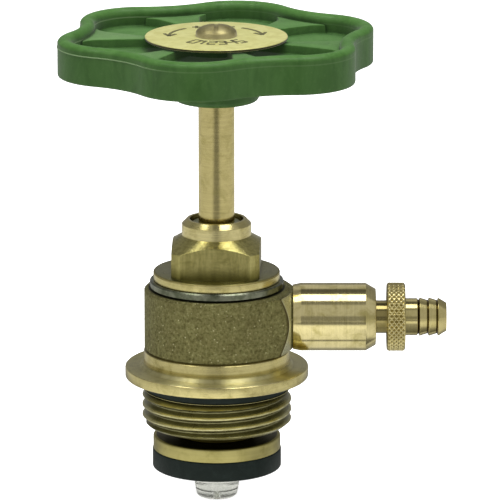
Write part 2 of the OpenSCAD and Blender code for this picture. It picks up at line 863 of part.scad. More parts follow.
module disc_holder() {
    pocket_r = stem_head_r + run_fit;
    groove_r = pocket_r + stem_clip_bite;
    hole_r = shank_r + run_fit;
    edge = 0.3;
    color(brass)
        difference() {
            rotate_extrude()
                polygon([
                    [0, z_holder_under], [holder_r, z_holder_under], [holder_r, z_holder - edge],
                    [holder_r - edge, z_holder], [holder_hub_r, z_holder], [holder_hub_r, z_hub_top - edge],
                    [holder_hub_r - edge, z_hub_top], [0, z_hub_top]
                ]);
            translate([0, 0, z_pocket])
                cylinder(r = pocket_r, h = z_hub_top - z_pocket + over);
            translate([0, 0, z_stem_clip])
                cylinder(r = groove_r, h = stem_clip_t + face_fit);
            translate([0, 0, z_holder_under - over])
                cylinder(r = hole_r, h = shank_len + over);
        }
}

module stem_clip() {
    outer = stem_head_r + run_fit + stem_clip_bite;
    neck_gap = 0.1;
    inner = stem_neck_r + neck_gap;
    opening = 60;
    opening_turn = 90;
    color(steel)
        difference() {
            translate([0, 0, z_stem_clip])
                cylinder(r = outer, h = stem_clip_t);
            translate([0, 0, z_stem_clip - over])
                cylinder(r = inner, h = stem_clip_t + 2 * over);
            ring_opening(
                2 * outer, opening, opening_turn, z_stem_clip - over, z_stem_clip + stem_clip_t + over
            );
        }
}

module valve_seal() {
    edge = 0.2;
    color(rubber)
        rotate_extrude()
            polygon([
                [shank_r + run_fit, z_seal_under], [seal_r - edge, z_seal_under],
                [seal_r, z_seal_under + edge], [seal_r, z_holder_under - edge],
                [seal_r - edge, z_holder_under], [shank_r + run_fit, z_holder_under]
            ]);
}

module nose_plug() {
    z_nose = z_seal_under - nose_len;
    step_at = 0.72;
    z_line = z_seal_under - step_at * nose_len;
    end_edge = 0.9;
    end_edge_h = 0.5;
    line_drop = 0.45;
    line_h = 0.3;
    line_lip = 0.3;
    pilot_r = 0.5;
    pilot_depth = 1.5;
    color(clear)
        difference() {
            rotate_extrude()
                polygon([
                    [0, z_nose], [nose_end_r - end_edge, z_nose], [nose_end_r, z_nose + end_edge_h],
                    [nose_r - line_drop, z_line - line_h], [nose_r - line_lip, z_line],
                    [nose_r, z_seal_under],
                    [shank_r, z_seal_under], [shank_r, z_holder_under + shank_len],
                    [0, z_holder_under + shank_len]
                ]);
            translate([0, 0, z_nose - over])
                cylinder(r = pilot_r, h = over + pilot_depth, $fn = 32);
        }
}

bonnet();
gland_bush();
bush_o_ring();
stem_o_rings();
retaining_ring();
head_gasket();
swivel_ring();
swivel_o_rings();
drain_body();
drain_nozzle();
nozzle_o_ring();
nozzle_seal();
stem();
handwheel();
wheel_plate();
wheel_screw();
disc_holder();
stem_clip();
valve_seal();
nose_plug();
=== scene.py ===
import json
import math

import bmesh
import bpy
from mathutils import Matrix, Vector
from mathutils.bvhtree import BVHTree


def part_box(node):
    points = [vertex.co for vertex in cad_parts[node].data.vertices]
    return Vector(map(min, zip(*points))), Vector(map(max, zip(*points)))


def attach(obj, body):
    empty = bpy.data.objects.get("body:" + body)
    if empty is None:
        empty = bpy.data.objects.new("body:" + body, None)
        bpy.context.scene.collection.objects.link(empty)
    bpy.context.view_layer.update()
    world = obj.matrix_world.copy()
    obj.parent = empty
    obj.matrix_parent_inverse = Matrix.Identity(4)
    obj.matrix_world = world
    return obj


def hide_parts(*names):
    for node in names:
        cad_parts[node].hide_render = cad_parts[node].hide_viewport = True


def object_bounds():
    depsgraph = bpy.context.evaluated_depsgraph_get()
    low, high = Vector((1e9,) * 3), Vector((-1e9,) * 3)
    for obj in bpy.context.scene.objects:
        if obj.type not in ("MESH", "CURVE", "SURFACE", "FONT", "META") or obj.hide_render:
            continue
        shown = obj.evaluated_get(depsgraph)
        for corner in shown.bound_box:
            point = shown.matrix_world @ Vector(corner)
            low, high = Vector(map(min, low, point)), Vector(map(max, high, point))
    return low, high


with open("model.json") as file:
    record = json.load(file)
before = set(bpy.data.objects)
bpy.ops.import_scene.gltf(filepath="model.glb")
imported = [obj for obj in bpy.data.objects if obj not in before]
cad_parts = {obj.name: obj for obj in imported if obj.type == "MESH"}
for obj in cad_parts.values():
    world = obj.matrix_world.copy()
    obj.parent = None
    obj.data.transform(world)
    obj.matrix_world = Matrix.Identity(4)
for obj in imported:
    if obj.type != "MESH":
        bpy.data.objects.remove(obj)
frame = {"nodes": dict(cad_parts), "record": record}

# The looks of a stop valve's headwork with a drain cock. The valve's axis is Z, the drain's runs
# along +X, and the photograph looks along +Y. Sizes are in millimetres. In metres are the camera's
# place, the search along its ray, the stage, and the distance that bump takes.
cad_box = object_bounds()
MM = 0.001
TAU = 2 * math.pi
CREASE = 32

# ---- Camera ----
LENS = 396.0
SENSOR = 36.0
SHIFT_X = 0.0
SHIFT_Y = 0.0
CAMERA_PITCH = 13.8
CAMERA_DISTANCE = 1.219
CAMERA_AIM = Vector((0.0074, 0.0, 0.0287))
SEARCH_REACH = 0.06
SEARCH_STEP = 0.001

# ---- Image points, in the photograph's frame ----
FRAME_W = 500
FRAME_H = 500
POINTS = {
    "left_edge": (54, 36),
    "right_edge": (446.5, 317.5),
    "top_edge": (223, 0.5),
    "bottom_edge": (217, 498),
    "plate_left": (143.3, 36),
    "plate_right": (284.9, 36),
    "block_peak": (215.5, 249),
    "flange_left": (124.7, 374),
    "flange_right": (308.6, 374),
    "knurl_middle": (396, 317.5),
    "mould_line": (151.6, 69.5),
    "plus_arrow": (173, 32),
    "minus_arrow": (256, 31),
    "numbers": (217, 43),
    "nose_line": (217, 491),
}

# ---- Handwheel ----
WHEEL_TIP = 36.0
WHEEL_WAIST = 31.2
LOBE_R = 13.7
LOBES = 6
LOBE_TURN = math.radians(18.8)
HALF_STEP = math.pi / LOBES
RIM_W = 3.3
RIM_EDGE = 0.6
RIM_FOOT_EDGE = 0.4
HUB_DROP = 7.05
BEAD_H = 1.6
DISH_DEPTH = 4.15
WEB_T = 2.2
WEB_FILLET = 0.5
HUB_R = 9.5
HUB_EDGE = 1.2
SPOKE_H = 2.0
SPOKE_HUB_W = 1.1
SPOKE_RIM_W = 11.1
SPOKE_FLARE = 1.6
SPOKE_FLARE_LEN = 2.6
LOBE_STEPS = 52
WAIST_STEPS = 24
MOULD_STEP = 0.12
MOULD_FADE = (-20.0, -6.0)

# ---- Stem, plate and screw ----
STEM_R = 4.0
STEM_GAP = 0.05
PLATE_R = 15.7
PLATE_HOLE_R = 2.05
PLATE_EDGE = 0.2
SHANK_R = 2.0
SCREW_HEAD_R = 4.55
DOME_FOOT = 0.55
SLOT_W = 0.9
SLOT_DEPTH = 0.6

# ---- Marks on the plate; the angles are in degrees ----
MARK_W = 0.7
MARK_H = 0.07
MARK_SINK = 0.05
ARROW_REACH = 26
ARROW_HEAD = 14
ARROW_HEAD_SIDE = 1.3
SIGN_OFF = 42
SIGN_HALF_W = 1.0
SIGN_HALF_H = 1.2
DIGITS_SHOWN = "012345"
DIGIT_STEP = 15
DIGIT_SIZE = 1.75
DIGIT_LINE = 0.52

# ---- Bonnet ----
COLLAR_R = 7.7
COLLAR_H = 3.6
COLLAR_CHAMFER = 1.1
GLAND_R = 5.9
GLAND_DEPTH = 8.0
WRENCH_AF = 19.5
WRENCH_CORNER_R = 12.4
WRENCH_H = 8.3
WRENCH_TURN = math.radians(-1.8)
WRENCH_SLOPE = math.tan(math.radians(30))
DISC_T = 1.85
SLEEVE_R = 14.05
CLIP_GROOVE_R = 12.9
SEAL_GROOVE_AT = 4.85
SEAL_GROOVE_HALF = 0.9
SEAL_GROOVE_DEPTH = 1.45
WATER_GROOVE_HALF = 2.3
WATER_GROOVE_DEPTH = 1.9
STEP_R = 16.25
STEP_H = 4.0
STEP_EDGE = 0.7
STEP_FOOT = 1.6
FLANGE_H = 2.5
FLANGE_R = 20.4
FLANGE_EDGE = 0.35
UNDERCUT_R = 15.0
UNDERCUT_H = 2.5
GASKET_RECESS = 0.15
GASKET_GAP = 0.02
RECESS_R = 16.92
THREAD_R = 16.6245
THREAD_DEPTH = 1.479
THREAD_PITCH = 25.4 / 11
THREAD_FLAT = 0.11
CREST_Z = -5.22
LIP_R = 16.35
LIP_H = 0.15
SKIRT_R = 15.45
CAVITY_R = 12.2
CAVITY_TOP = -4.53
STEM_BORE_R = 6.05
STEM_BORE_TOP = 18.2

# ---- Valve disc ----
HOLDER_R = 14.2
HOLDER_T = 3.0
HOLDER_HUB_R = 8.5
HOLDER_BORE_R = 4.55
HOLDER_BORE_DEPTH = 5.4
SEAL_BORE_R = 2.5
NOSE_SHANK_R = 2.45
NOSE_END_R = 4.45
NOSE_R = 4.8
NOSE_DIMPLE_R = 0.5

# ---- Drain ----
BOSS_R = 6.9
BOSS_CONE = 0.56
DRAIN_R = 7.55
DRAIN_FACE_R = 6.25
DRAIN_CHAMFER = 2.25
BARREL_BORE_R = 4.05
BARREL_BORE_AT = 3.7
SEAT_R = 2.8
SEAT_AT = 3.1
INLET_R = 1.6
SPIGOT_R = 4.95
SPIGOT_LEN = 1.9
KNURL_R = 7.65
KNURL_DEPTH = 0.36
KNURL_TEETH = 36
KNURL_ROWS = 4
KNURL_W = 4.1
KNURL_EDGE = 0.4
TIP_R = 1.2
TIP_LEN = 1.0
PLUNGER_R = 4.0
PLUNGER_END = 1.4
NECK_R = 3.67
NECK_BARE = 2.4
TAIL_R = 4.15
TAIL_LEN = 3.2
BARB_PITCH = 2.05
BARB_R = 4.3
BARB_FOOT_R = 3.72
BARB_RUN = 0.22
BARBS = 3
MOUTH_R = 3.15
HOSE_BORE_R = 2.0
HOSE_BORE_END = 8.0

# ---- Stage, in metres: each light's group, place, size across and along, and power ----
FLOOR_GAP = 0.00002
LIGHT_Z = 0.9
LIGHTS = (
    ("left_light", "body_lit", (-0.415, -0.1), (0.2, 0.53), 1.05),
    ("right_light", "body_lit", (0.285, -0.1), (0.36, 0.53), 1.9),
    ("left_back_light", "body_lit", (-0.208, 0.34), (0.11, 0.09), 0.05),
    ("right_back_light", "body_lit", (0.176, 0.33), (0.18, 0.11), 0.17),
    ("drain_light", "drain_lit", (-0.075, -0.125), (0.75, 0.41), 2.9),
    ("wide_light", "body_lit", (0.0, -0.05), (0.5, 0.5), 6.2),
)

# ---- Colours of brass ----
BRIGHT = (0.76, 0.65, 0.28)
POLISHED = (0.86, 0.75, 0.37)
MACHINED = (0.80, 0.70, 0.31)
STAINED = (0.58, 0.50, 0.19)


def low(node):
    """A CAD node's lowest corner in millimetres."""
    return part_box(node)[0] / MM


def high(node):
    """A CAD node's highest corner in millimetres."""
    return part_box(node)[1] / MM


def heights(node):
    """A CAD node's bottom and top."""
    return low(node).z, high(node).z


Z_TOP = high("bonnet").z
Z_COLLAR = Z_TOP - COLLAR_H
Z_WRENCH = Z_COLLAR - WRENCH_H
Z_DISC = Z_WRENCH - DISC_T
Z_CLIP = low("retaining_ring").z
Z_STEP = FLANGE_H + STEP_H
Z_SKIRT = low("bonnet").z
Z_RIM = low("handwheel").z + HUB_DROP
Z_RIM_TOP = high("handwheel").z
Z_FLOOR = Z_RIM_TOP - DISH_DEPTH
Z_DRAIN = (low("drain_body").z + high("drain_body").z) / 2
X_BOSS = low("drain_body").x + SPIGOT_LEN
X_DRAIN_END = high("drain_body").x
X_KNURL = X_DRAIN_END + NECK_BARE
X_TAIL = X_KNURL + KNURL_W
X_BARBS = X_TAIL + TAIL_LEN
X_MOUTH = high("drain_nozzle").x


# ---- Camera and image points ----

def new_object(name, data):
    made = bpy.data.objects.new(name, data)
    bpy.context.scene.collection.objects.link(made)
    return made


def make_camera():
    data = bpy.data.cameras.new("camera")
    data.lens = LENS
    data.sensor_width = SENSOR
    data.sensor_fit = "AUTO"
    data.shift_x = SHIFT_X
    data.shift_y = SHIFT_Y
    data.clip_start = 0.05
    data.clip_end = 50.0
    made = new_object("camera", data)
    tilt = math.radians(CAMERA_PITCH)
    back = Vector((0.0, -math.cos(tilt), math.sin(tilt)))
    made.location = CAMERA_AIM + back * CAMERA_DISTANCE
    made.rotation_mode = "QUATERNION"
    made.rotation_quaternion = (-back).to_track_quat("-Z", "Y")
    bpy.context.scene.camera = made
    bpy.context.view_layer.update()
    return made


def picture_place(place):
    """Where a place in the frame shows in the photograph's frame."""
    local = camera.matrix_world.inverted() @ place
    longest = max(FRAME_W, FRAME_H)
    scale = longest * LENS / SENSOR / -local.z
    x = local.x * scale + FRAME_W / 2 - SHIFT_X * longest
    y = FRAME_H / 2 + SHIFT_Y * longest - local.y * scale
    return x, y


def on_surface(name, carrier):
    """Where the camera's ray through an image point meets the carrier, or, if it misses, the
    carrier's place nearest to the ray, in millimetres."""
    x, y = POINTS[name]
    longest = max(FRAME_W, FRAME_H)
    across = x - FRAME_W / 2 + SHIFT_X * longest
    up = FRAME_H / 2 - y + SHIFT_Y * longest
    ray = Vector((across, up, -longest * LENS / SENSOR))
    direction = (camera.matrix_world.to_quaternion() @ ray).normalized()
    start = camera.matrix_world.translation
    places = [carrier.matrix_world @ v.co for v in carrier.data.vertices]
    tree = BVHTree.FromPolygons(places, [p.vertices for p in carrier.data.polygons])
    hit = tree.ray_cast(start, direction)[0]
    if hit is None:
        first, count = CAMERA_DISTANCE - SEARCH_REACH, round(2 * SEARCH_REACH / SEARCH_STEP)
        steps = [start + direction * (first + SEARCH_STEP * i) for i in range(count)]
        hit = min((tree.find_nearest(step) for step in steps), key=lambda found: found[3])[0]
    return hit / MM


# ---- Meshes ----

def rounded(corners, arc=4):
    """A closed outline; a corner's third value is the radius that rounds it."""
    points = []
    for k, corner in enumerate(corners):
        here = Vector(corner[:2])
        if len(corner) < 3:
            points.append(here)
            continue
        before = (Vector(corners[k - 1][:2]) - here).normalized()
        after = (Vector(corners[(k + 1) % len(corners)][:2]) - here).normalized()
        half = before.angle(after) / 2
        reach = corner[2] / math.tan(half)
        centre = here + (before + after).normalized() * corner[2] / math.sin(half)
        start = here + before * reach - centre
        end = here + after * reach - centre
        for i in range(arc + 1):
            points.append(centre + start.lerp(end, i / arc).normalized() * corner[2])
    return points


def shell(rows, loop=False, capped=False):
    """Points and faces that join each ring of points to the next; a ring of one point is a pole."""
    points = [point for row in rows for point in row]
    starts = [sum(len(row) for row in rows[:k]) for k in range(len(rows))]
    faces = []
    pairs = [(k, k + 1) for k in range(len(rows) - 1)] + ([(len(rows) - 1, 0)] if loop else [])
    for a, b in pairs:
        n, m = len(rows[a]), len(rows[b])
        if n == 1 and m == 1:
            continue
        for i in range(max(n, m)):
            j = i + 1
            quad = [starts[a] + i % n, starts[a] + j % n, starts[b] + j % m, starts[b] + i % m]
            faces.append([v for k, v in enumerate(quad) if v != quad[k - 1]])
    if capped:
        faces.append([starts[0] + i for i in range(len(rows[0]))])
        faces.append([starts[-1] + i for i in range(len(rows[-1]))])
    return points, faces


def lathe(outline, steps=128, along_drain=False):
    """A closed outline of (radius, place along the axis), turned about the valve's or the drain's axis."""
    angles = [TAU * i / steps for i in range(steps)]
    rows = []
    for radius, along in outline:
        ring = [(radius * math.cos(a), radius * math.sin(a)) for a in angles[:1 if radius < 1e-6 else steps]]
        if along_drain:
            rows.append([(along, a, Z_DRAIN + b) for a, b in ring])
        else:
            rows.append([(a, b, along) for a, b in ring])
    return shell(rows, loop=True)


def flat_ring(inner, outer, bottom, top, low_edge, high_edge, steps=192):
    """A flat ring whose outer edges are rounded below and above."""
    outline = [(inner, bottom), (outer, bottom, low_edge), (outer, top, high_edge), (inner, top)]
    return lathe(rounded(outline), steps)


def make_object(name, shells):
    """An object with one mesh made of closed shells."""
    points = []
    faces = []
    for shell_points, shell_faces in shells:
        faces.extend([v + len(points) for v in face] for face in shell_faces)
        points.extend(Vector(p) * MM for p in shell_points)
    mesh = bpy.data.meshes.new(name)
    mesh.from_pydata(points, [], faces)
    made = bmesh.new()
    made.from_mesh(mesh)
    bmesh.ops.recalc_face_normals(made, faces=made.faces)
    made.to_mesh(mesh)
    made.free()
    return new_object(name, mesh)


def make_piece(name, shells, material, body, slot, *nodes, crease=CREASE):
    """A piece that is smooth except at creases and rides on a CAD body."""
    piece = make_object(name, shells)
    mesh = piece.data
    mesh.polygons.foreach_set("use_smooth", [True] * len(mesh.polygons))
    mesh.set_sharp_from_angle(angle=math.radians(crease))
    mesh.materials.append(material)
    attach(piece, body)
    if nodes:
        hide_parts(*nodes)
    return piece


def turned(point, angle):
    """A place (x, y) turned about the origin."""
    x, y = point
    return x * math.cos(angle) - y * math.sin(angle), x * math.sin(angle) + y * math.cos(angle)


# ---- Node helpers ----

def add(kind, settings=None, tree=None, **inputs):
    """Adds a shader node, where no tree is given to the one its sockets are in. A value that is a
    socket is linked, any other is set; _0 means input 0."""
    if tree is None:
        tree = next(value.id_data for value in inputs.values() if isinstance(value, bpy.types.NodeSocket))
    made = tree.nodes.new("ShaderNode" + kind)
    for key, value in (settings or {}).items():
        setattr(made, key, value)
    for key, value in inputs.items():
        index = int(key[1:]) if key[0] == "_" else key.replace("_", " ")
        if isinstance(value, bpy.types.NodeSocket):
            tree.links.new(value, made.inputs[index])
        else:
            made.inputs[index].default_value = value
    return made


def calc(operation, a, b=0.0):
    return add("Math", {"operation": operation}, _0=a, _1=b).outputs[0]


def product(*masks):
    """All the masks multiplied."""
    made = masks[-1]
    for mask in reversed(masks[:-1]):
        made = calc("MULTIPLY", mask, made)
    return made


def away(value, place):
    """How far value is from place, either way."""
    return calc("ABSOLUTE", calc("SUBTRACT", value, place))


def band(value, out_low, in_low, in_high, out_high):
    """1 between in_low and in_high, and 0 outside out_low and out_high."""
    return product(rise(value, out_low, in_low), rise(value, out_high, in_high))


def within(value, place, full, none):
    """1 up to full from the place, and 0 from none on."""
    return rise(away(value, place), none, full)


def rise(value, start, end, low_value=0.0, high_value=1.0):
    """A soft step from low_value to high_value as value goes from start to end."""
    made = add("MapRange", {"interpolation_type": "SMOOTHSTEP"}, Value=value,
               From_Min=start, From_Max=end, To_Min=low_value, To_Max=high_value)
    return made.outputs[0]


def vary(noise, least=0.0, most=1.0):
    """From least to most as the noise varies."""
    return rise(noise, 0.3, 0.7, least, most)


def blend(fac, a, b, mode="MIX"):
    """From a to b as fac rises; each is a socket or a colour."""
    made = add("Mix", {"data_type": "RGBA", "blend_type": mode}, _0=fac)
    for index, value in ((6, a), (7, b)):
        if isinstance(value, bpy.types.NodeSocket):
            made.id_data.links.new(value, made.inputs[index])
        else:
            made.inputs[index].default_value = (*value, 1.0)
    return made.outputs[2]


def speckle(vector, scale, detail=4.0, roughness=0.55, distortion=0.0):
    made = add("TexNoise", Vector=vector, Scale=scale, Detail=detail,
               Roughness=roughness, Distortion=distortion)
    return made.outputs["Fac"]


def split(vector):
    """The vector's X, Y and Z."""
    return list(add("SeparateXYZ", _0=vector).outputs)


def place_mm(tree):
    """Object coordinates in millimetres."""
    coords = add("TexCoord", tree=tree).outputs["Object"]
    return scaled(coords, 1 / MM)


def lathe_place(tree, along_drain=False):
    """Distance from the axis, place along it, and a spot made of both with a little of the turn."""
    parts = split(place_mm(tree))
    if along_drain:
        along, across = parts[:2]
        up = calc("SUBTRACT", parts[2], Z_DRAIN)
    else:
        across, up, along = parts
    squares = calc("ADD", product(across, across), product(up, up))
    radius = calc("SQRT", squares)
    angle = product(calc("ABSOLUTE", calc("ARCTAN2", up, across)), 0.12)
    spot = add("CombineXYZ", _0=radius, _1=along, _2=angle).outputs[0]
    return radius, along, spot


def new_material(name):
    """A material without nodes, and its tree."""
    material = bpy.data.materials.new(name)
    material.use_nodes = True
    tree = material.node_tree
    tree.nodes.clear()
    return material, tree


def finished(material, kind="BsdfPrincipled", **inputs):
    """The material, ended with a shader."""
    shader = add(kind, **inputs)
    add("OutputMaterial", Surface=shader.outputs[0])
    return material


def scaled(vector, scale):
    return add("VectorMath", {"operation": "SCALE"}, _0=vector, Scale=scale).outputs[0]


def stretched(vector, along_z):
    """The vector with its Z scaled, so that what is drawn with it runs long or short up the valve."""
    scale = (1.0, 1.0, along_z)
    return add("VectorMath", {"operation": "MULTIPLY"}, _0=vector, _1=scale).outputs[0]


def open_air(tree, reach, own=True):
    """1 in the open, less in corners; reach is in millimetres, and own leaves other pieces out."""
    settings = {"samples": 6, "only_local": own}
    return add("AmbientOcclusion", settings, tree, Distance=reach * MM).outputs["AO"]


def bump(height, strength, distance):
    return add("Bump", Strength=strength, Distance=distance, Height=height).outputs[0]


# ---- Materials ----

def make_brass(name, colour, stain, roughness=0.2, lines=0.25, spread=0.4, along_drain=False,
               zones=None, corners=1.5):
    """Turned brass: fine tool lines, a thin uneven stain and painted shade in corners. A zone is a mask,
    the shade that multiplies the colour in it and, for some, its roughness."""
    material, tree = new_material(name)
    spot = place_mm(tree)
    radius, along, turned_spot = lathe_place(tree, along_drain)
    fine = speckle(turned_spot, 9.0, 3.0, 0.7)
    broad = speckle(turned_spot, 1.7, 2.0, 0.6)
    cloud = speckle(spot, 0.3, 5.0, 0.62, 0.6)
    dirt = rise(cloud, 0.42, 0.75)
    tone = blend(dirt, colour, stain)
    mixed = calc("ADD", product(fine, 0.6), product(broad, 0.4))
    tone = scaled(tone, rise(mixed, 0.35, 0.65, 0.9, 1.06))
    rough = calc("ADD", vary(fine, roughness - 0.04, roughness + 0.05), product(dirt, 0.06))
    for mask, shade, *coarse in (zones(spot, radius, along) if zones else ()):
        tone = blend(mask, tone, shade, "MULTIPLY")
        if coarse:
            rough = add("Mix", _0=mask, _2=rough, _3=coarse[0]).outputs[0]
    # Painted shade: ambient occlusion darkens corners and creases within the given reach in millimetres.
    corner = rise(open_air(tree, corners), 0.85, 0.35)
    tone = blend(corner, tone, (0.55, 0.52, 0.4), "MULTIPLY")
    pits = rise(speckle(spot, 3.4, 2.0, 0.5), 0.28, 0.34)
    height = calc("ADD", product(fine, 0.6), product(pits, 0.5))
    turning = {"direction_type": "RADIAL", "axis": "X" if along_drain else "Z"}
    round_axis = add("Tangent", turning, tree).outputs[0]
    return finished(material, Base_Color=tone, Metallic=1.0, Roughness=rough, Tangent=round_axis,
                    Normal=bump(height, lines, 0.00003), Anisotropic=spread, Anisotropic_Rotation=0.25)


def bonnet_zones(spot, radius, along):
    """The block is duller than the turned faces and darker towards its foot. Painted light: the collar is
    brightened and the flange's top made paler, and painted shade darkens the first thread turn, the
    thread's roots, the gland's bore, the disc's top and edge, and the step's upper edge and foot. The
    disc's edge and the flange's top keep coarse rings from the lathe."""
    z_edge, z_turn, z_gland = Z_TOP - COLLAR_CHAMFER, -UNDERCUT_H - LIP_H, Z_TOP - GLAND_DEPTH
    milled = band(along, Z_WRENCH - 0.1, Z_WRENCH + 0.1, Z_COLLAR - 0.1, Z_COLLAR + 0.05)
    # Painted light: the collar is brightened past its brass colour.
    collar = band(along, Z_COLLAR, Z_COLLAR + 0.2, z_edge - 0.2, z_edge)
    # Painted shade on the first thread turn, under the flange.
    first_turn = band(along, -UNDERCUT_H - 1.7, -UNDERCUT_H - 1.3, z_turn - 0.1, z_turn)
    foot = product(milled, rise(along, Z_WRENCH + 3.6, Z_WRENCH + 0.2))
    strokes = speckle(stretched(spot, 0.12), 1.1, 3.0, 0.6)
    brushed = product(milled, rise(strokes, 0.62, 0.35))
    below = rise(along, -UNDERCUT_H + 0.3, -UNDERCUT_H)
    # Painted shade in the thread's roots.
    root = product(below, rise(radius, THREAD_R - 0.1, THREAD_R - 0.7))
    # Painted shade on the wall of the gland's bore.
    gland = product(rise(along, z_gland, z_gland + 0.1), rise(radius, GLAND_R + 0.14, GLAND_R + 0.04))
    off_disc = away(along, Z_WRENCH)
    # Painted shade on the disc's top, and a little on its edge to dim the highlight there.
    disc_top = product(rise(off_disc, 0.1, 0.05), rise(radius, SLEEVE_R - 0.3, SLEEVE_R - 0.5))
    disc_edge = product(rise(off_disc, 0.45, 0.3), rise(radius, SLEEVE_R - 0.5, SLEEVE_R - 0.3))
    # Painted shade: a dark line on the step's upper edge, in place of the gap's shadow.
    step_edge = band(along, Z_STEP - 0.4, Z_STEP - 0.2, Z_STEP + 0.3, Z_STEP + 0.5)
    # Painted shade at the step's foot.
    step_foot = product(band(along, FLANGE_H + 0.6, FLANGE_H + 1.1, FLANGE_H + 1.5, FLANGE_H + 2.2),
                        rise(radius, STEP_R + 0.7, STEP_R + 0.4))
    # Painted light: the flange's top is made paler and bluer.
    flange_top = product(rise(radius, STEP_R + 0.05, STEP_R + 0.2),
                         band(along, FLANGE_H - 0.15, FLANGE_H - 0.05, FLANGE_H + 1.2, FLANGE_H + 1.5))
    return (
        (milled, (0.78, 0.8, 0.68), 0.27),
        (collar, (1.15, 1.16, 1.25)),
        (first_turn, (0.6, 0.6, 0.52)),
        (foot, (0.42, 0.42, 0.3)),
        (brushed, (0.8, 0.8, 0.74)),
        (below, (0.88, 0.94, 1.1)),
        (root, (0.52, 0.54, 0.56)),
        (gland, (0.45, 0.45, 0.35)),
        (disc_top, (0.78, 0.84, 0.84)),
        (disc_edge, (0.9, 0.9, 0.85), 0.55),
        (step_edge, (0.3, 0.28, 0.18), 0.5),
        (step_foot, (0.6, 0.57, 0.4)),
        (flange_top, (1.0, 1.05, 1.2), 0.42),
    )


def holder_zones(spot, radius, along):
    """Painted shade darkens the top of the disc's plate, under the bonnet's skirt; its edge is left bright.
    """
    z_top = low("disc_holder").z + HOLDER_T
    edge = high("disc_holder").x
    # Painted shade on the plate's top.
    top = product(rise(along, z_top - 0.1, z_top), rise(radius, edge - 0.5, edge - 0.9))
    return ((top, (0.14, 0.13, 0.07)),)


def nozzle_zones(spot, radius, along):
    """Painted shade: the neck is darker short of the knurl, and the foot of each barb is dark."""
    # Painted shade on the neck.
    neck = rise(along, X_KNURL + 0.1, X_KNURL - 0.1)
    # Painted shade at the foot of each barb, where its step faces away.
    barbs = calc("DIVIDE", calc("SUBTRACT", along, X_BARBS - 0.5), BARB_PITCH)
    last = X_BARBS + (BARBS - 0.5) * BARB_PITCH
    foot = product(rise(calc("FRACT", barbs), 0.26, 0.16),
                   band(along, X_BARBS - 0.52, X_BARBS - 0.45, last, last + 0.1 * BARB_PITCH))
    return ((neck, (0.55, 0.53, 0.45)), (foot, (0.2, 0.17, 0.08)))


def knurl_zones(spot, radius, along):
    """Painted shade in the knurl's grooves, which are also rougher."""
    grooves = rise(radius, KNURL_R - 0.1, KNURL_R - KNURL_DEPTH)
    return ((grooves, (0.5, 0.47, 0.32), 0.3),)


def make_cast_brass():
    """Sand-cast brass: grainy, dull and brown, with bright worn grains. The ring's top is painted black, a
    painted shadow under the retaining ring, and the boss has a pale turned face with a dark torn edge."""
    material, tree = new_material("cast_brass")
    spot = place_mm(tree)
    grain = speckle(spot, 1.5, 5.0, 0.72)
    coarse = speckle(spot, 0.35, 4.0, 0.6, 0.5)
    sand = speckle(spot, 3.6, 3.0, 0.7)
    tone = blend(vary(coarse), (0.235, 0.215, 0.08), (0.30, 0.285, 0.11))
    tone = blend(rise(grain, 0.52, 0.36, 0.0, 0.75), tone, (0.12, 0.105, 0.03))
    tone = blend(rise(grain, 0.55, 0.68, 0.0, 0.7), tone, (0.52, 0.49, 0.22))
    cell = add("TexVoronoi", Vector=spot, Scale=1.1)
    chosen = rise(speckle(spot, 0.6, 3.0, 0.7), 0.5, 0.56)
    worn = product(rise(cell.outputs["Distance"], 0.22, 0.1), chosen)
    tone = blend(worn, tone, (0.75, 0.7, 0.38))
    radius, along = lathe_place(tree)[:2]
    # Painted shadow: the ring's top under the retaining ring is black.
    ring_top = product(rise(along, Z_CLIP - 0.3, Z_CLIP - 0.15), rise(radius, STEP_R - 1.0, STEP_R - 1.2))
    tone = blend(ring_top, tone, (0.03, 0.03, 0.012))
    from_drain, out = lathe_place(tree, True)[:2]
    cone = product(BOSS_CONE, calc("SUBTRACT", from_drain, BOSS_R))
    under_face = calc("SUBTRACT", calc("SUBTRACT", X_BOSS, cone), out)
    torn = product(rise(under_face, 0.5, 0.1), rise(from_drain, 7.75, 8.3))
    tone = blend(torn, tone, (0.10, 0.08, 0.025))
    face = product(rise(under_face, 0.08, 0.03), rise(out, X_BOSS - 2.6, X_BOSS - 2.5),
                   rise(from_drain, 7.7, 7.8))
    tone = blend(face, tone, (0.66, 0.64, 0.38))
    rough = calc("SUBTRACT", vary(grain, 0.62, 0.46), product(calc("MAXIMUM", worn, face), 0.22))
    height = calc("ADD", product(grain, 1.2), product(sand, 0.5))
    height = product(height, calc("SUBTRACT", 1.0, face))
    return finished(material, Base_Color=tone, Metallic=0.85, Roughness=rough,
                    Normal=bump(height, 0.8, 0.00025))


def make_steel():
    """Blued spring steel with a thin uneven stain."""
    material, tree = new_material("steel")
    fine = speckle(lathe_place(tree)[2], 6.0, 3.0, 0.6)
    cloud = speckle(place_mm(tree), 0.5, 4.0, 0.6)
    tone = blend(rise(cloud, 0.35, 0.65), (0.13, 0.145, 0.09), (0.27, 0.28, 0.2))
    rough = vary(fine, 0.16, 0.28)
    return finished(material, Base_Color=tone, Metallic=1.0, Roughness=rough,
                    Normal=bump(fine, 0.3, 0.00003))


def make_rubber(name, colour, dust):
    """Matt rubber with a fine moulded grain and a little dust."""
    material, tree = new_material(name)
    spot = place_mm(tree)
    grain = speckle(spot, 5.0, 5.0, 0.6)
    cloud = speckle(spot, 0.3, 5.0, 0.65, 0.4)
    tone = blend(rise(cloud, 0.4, 0.75), colour, dust)
    specks = rise(speckle(spot, 6.5, 2.0, 0.5), 0.68, 0.74, 0.0, 0.5)
    tone = blend(specks, tone, (0.06, 0.08, 0.07))
    rough = vary(grain, 0.42, 0.58)
    return finished(material, Base_Color=tone, Roughness=rough, Specular_IOR_Level=0.22,
                    Normal=bump(grain, 0.25, 0.00008))


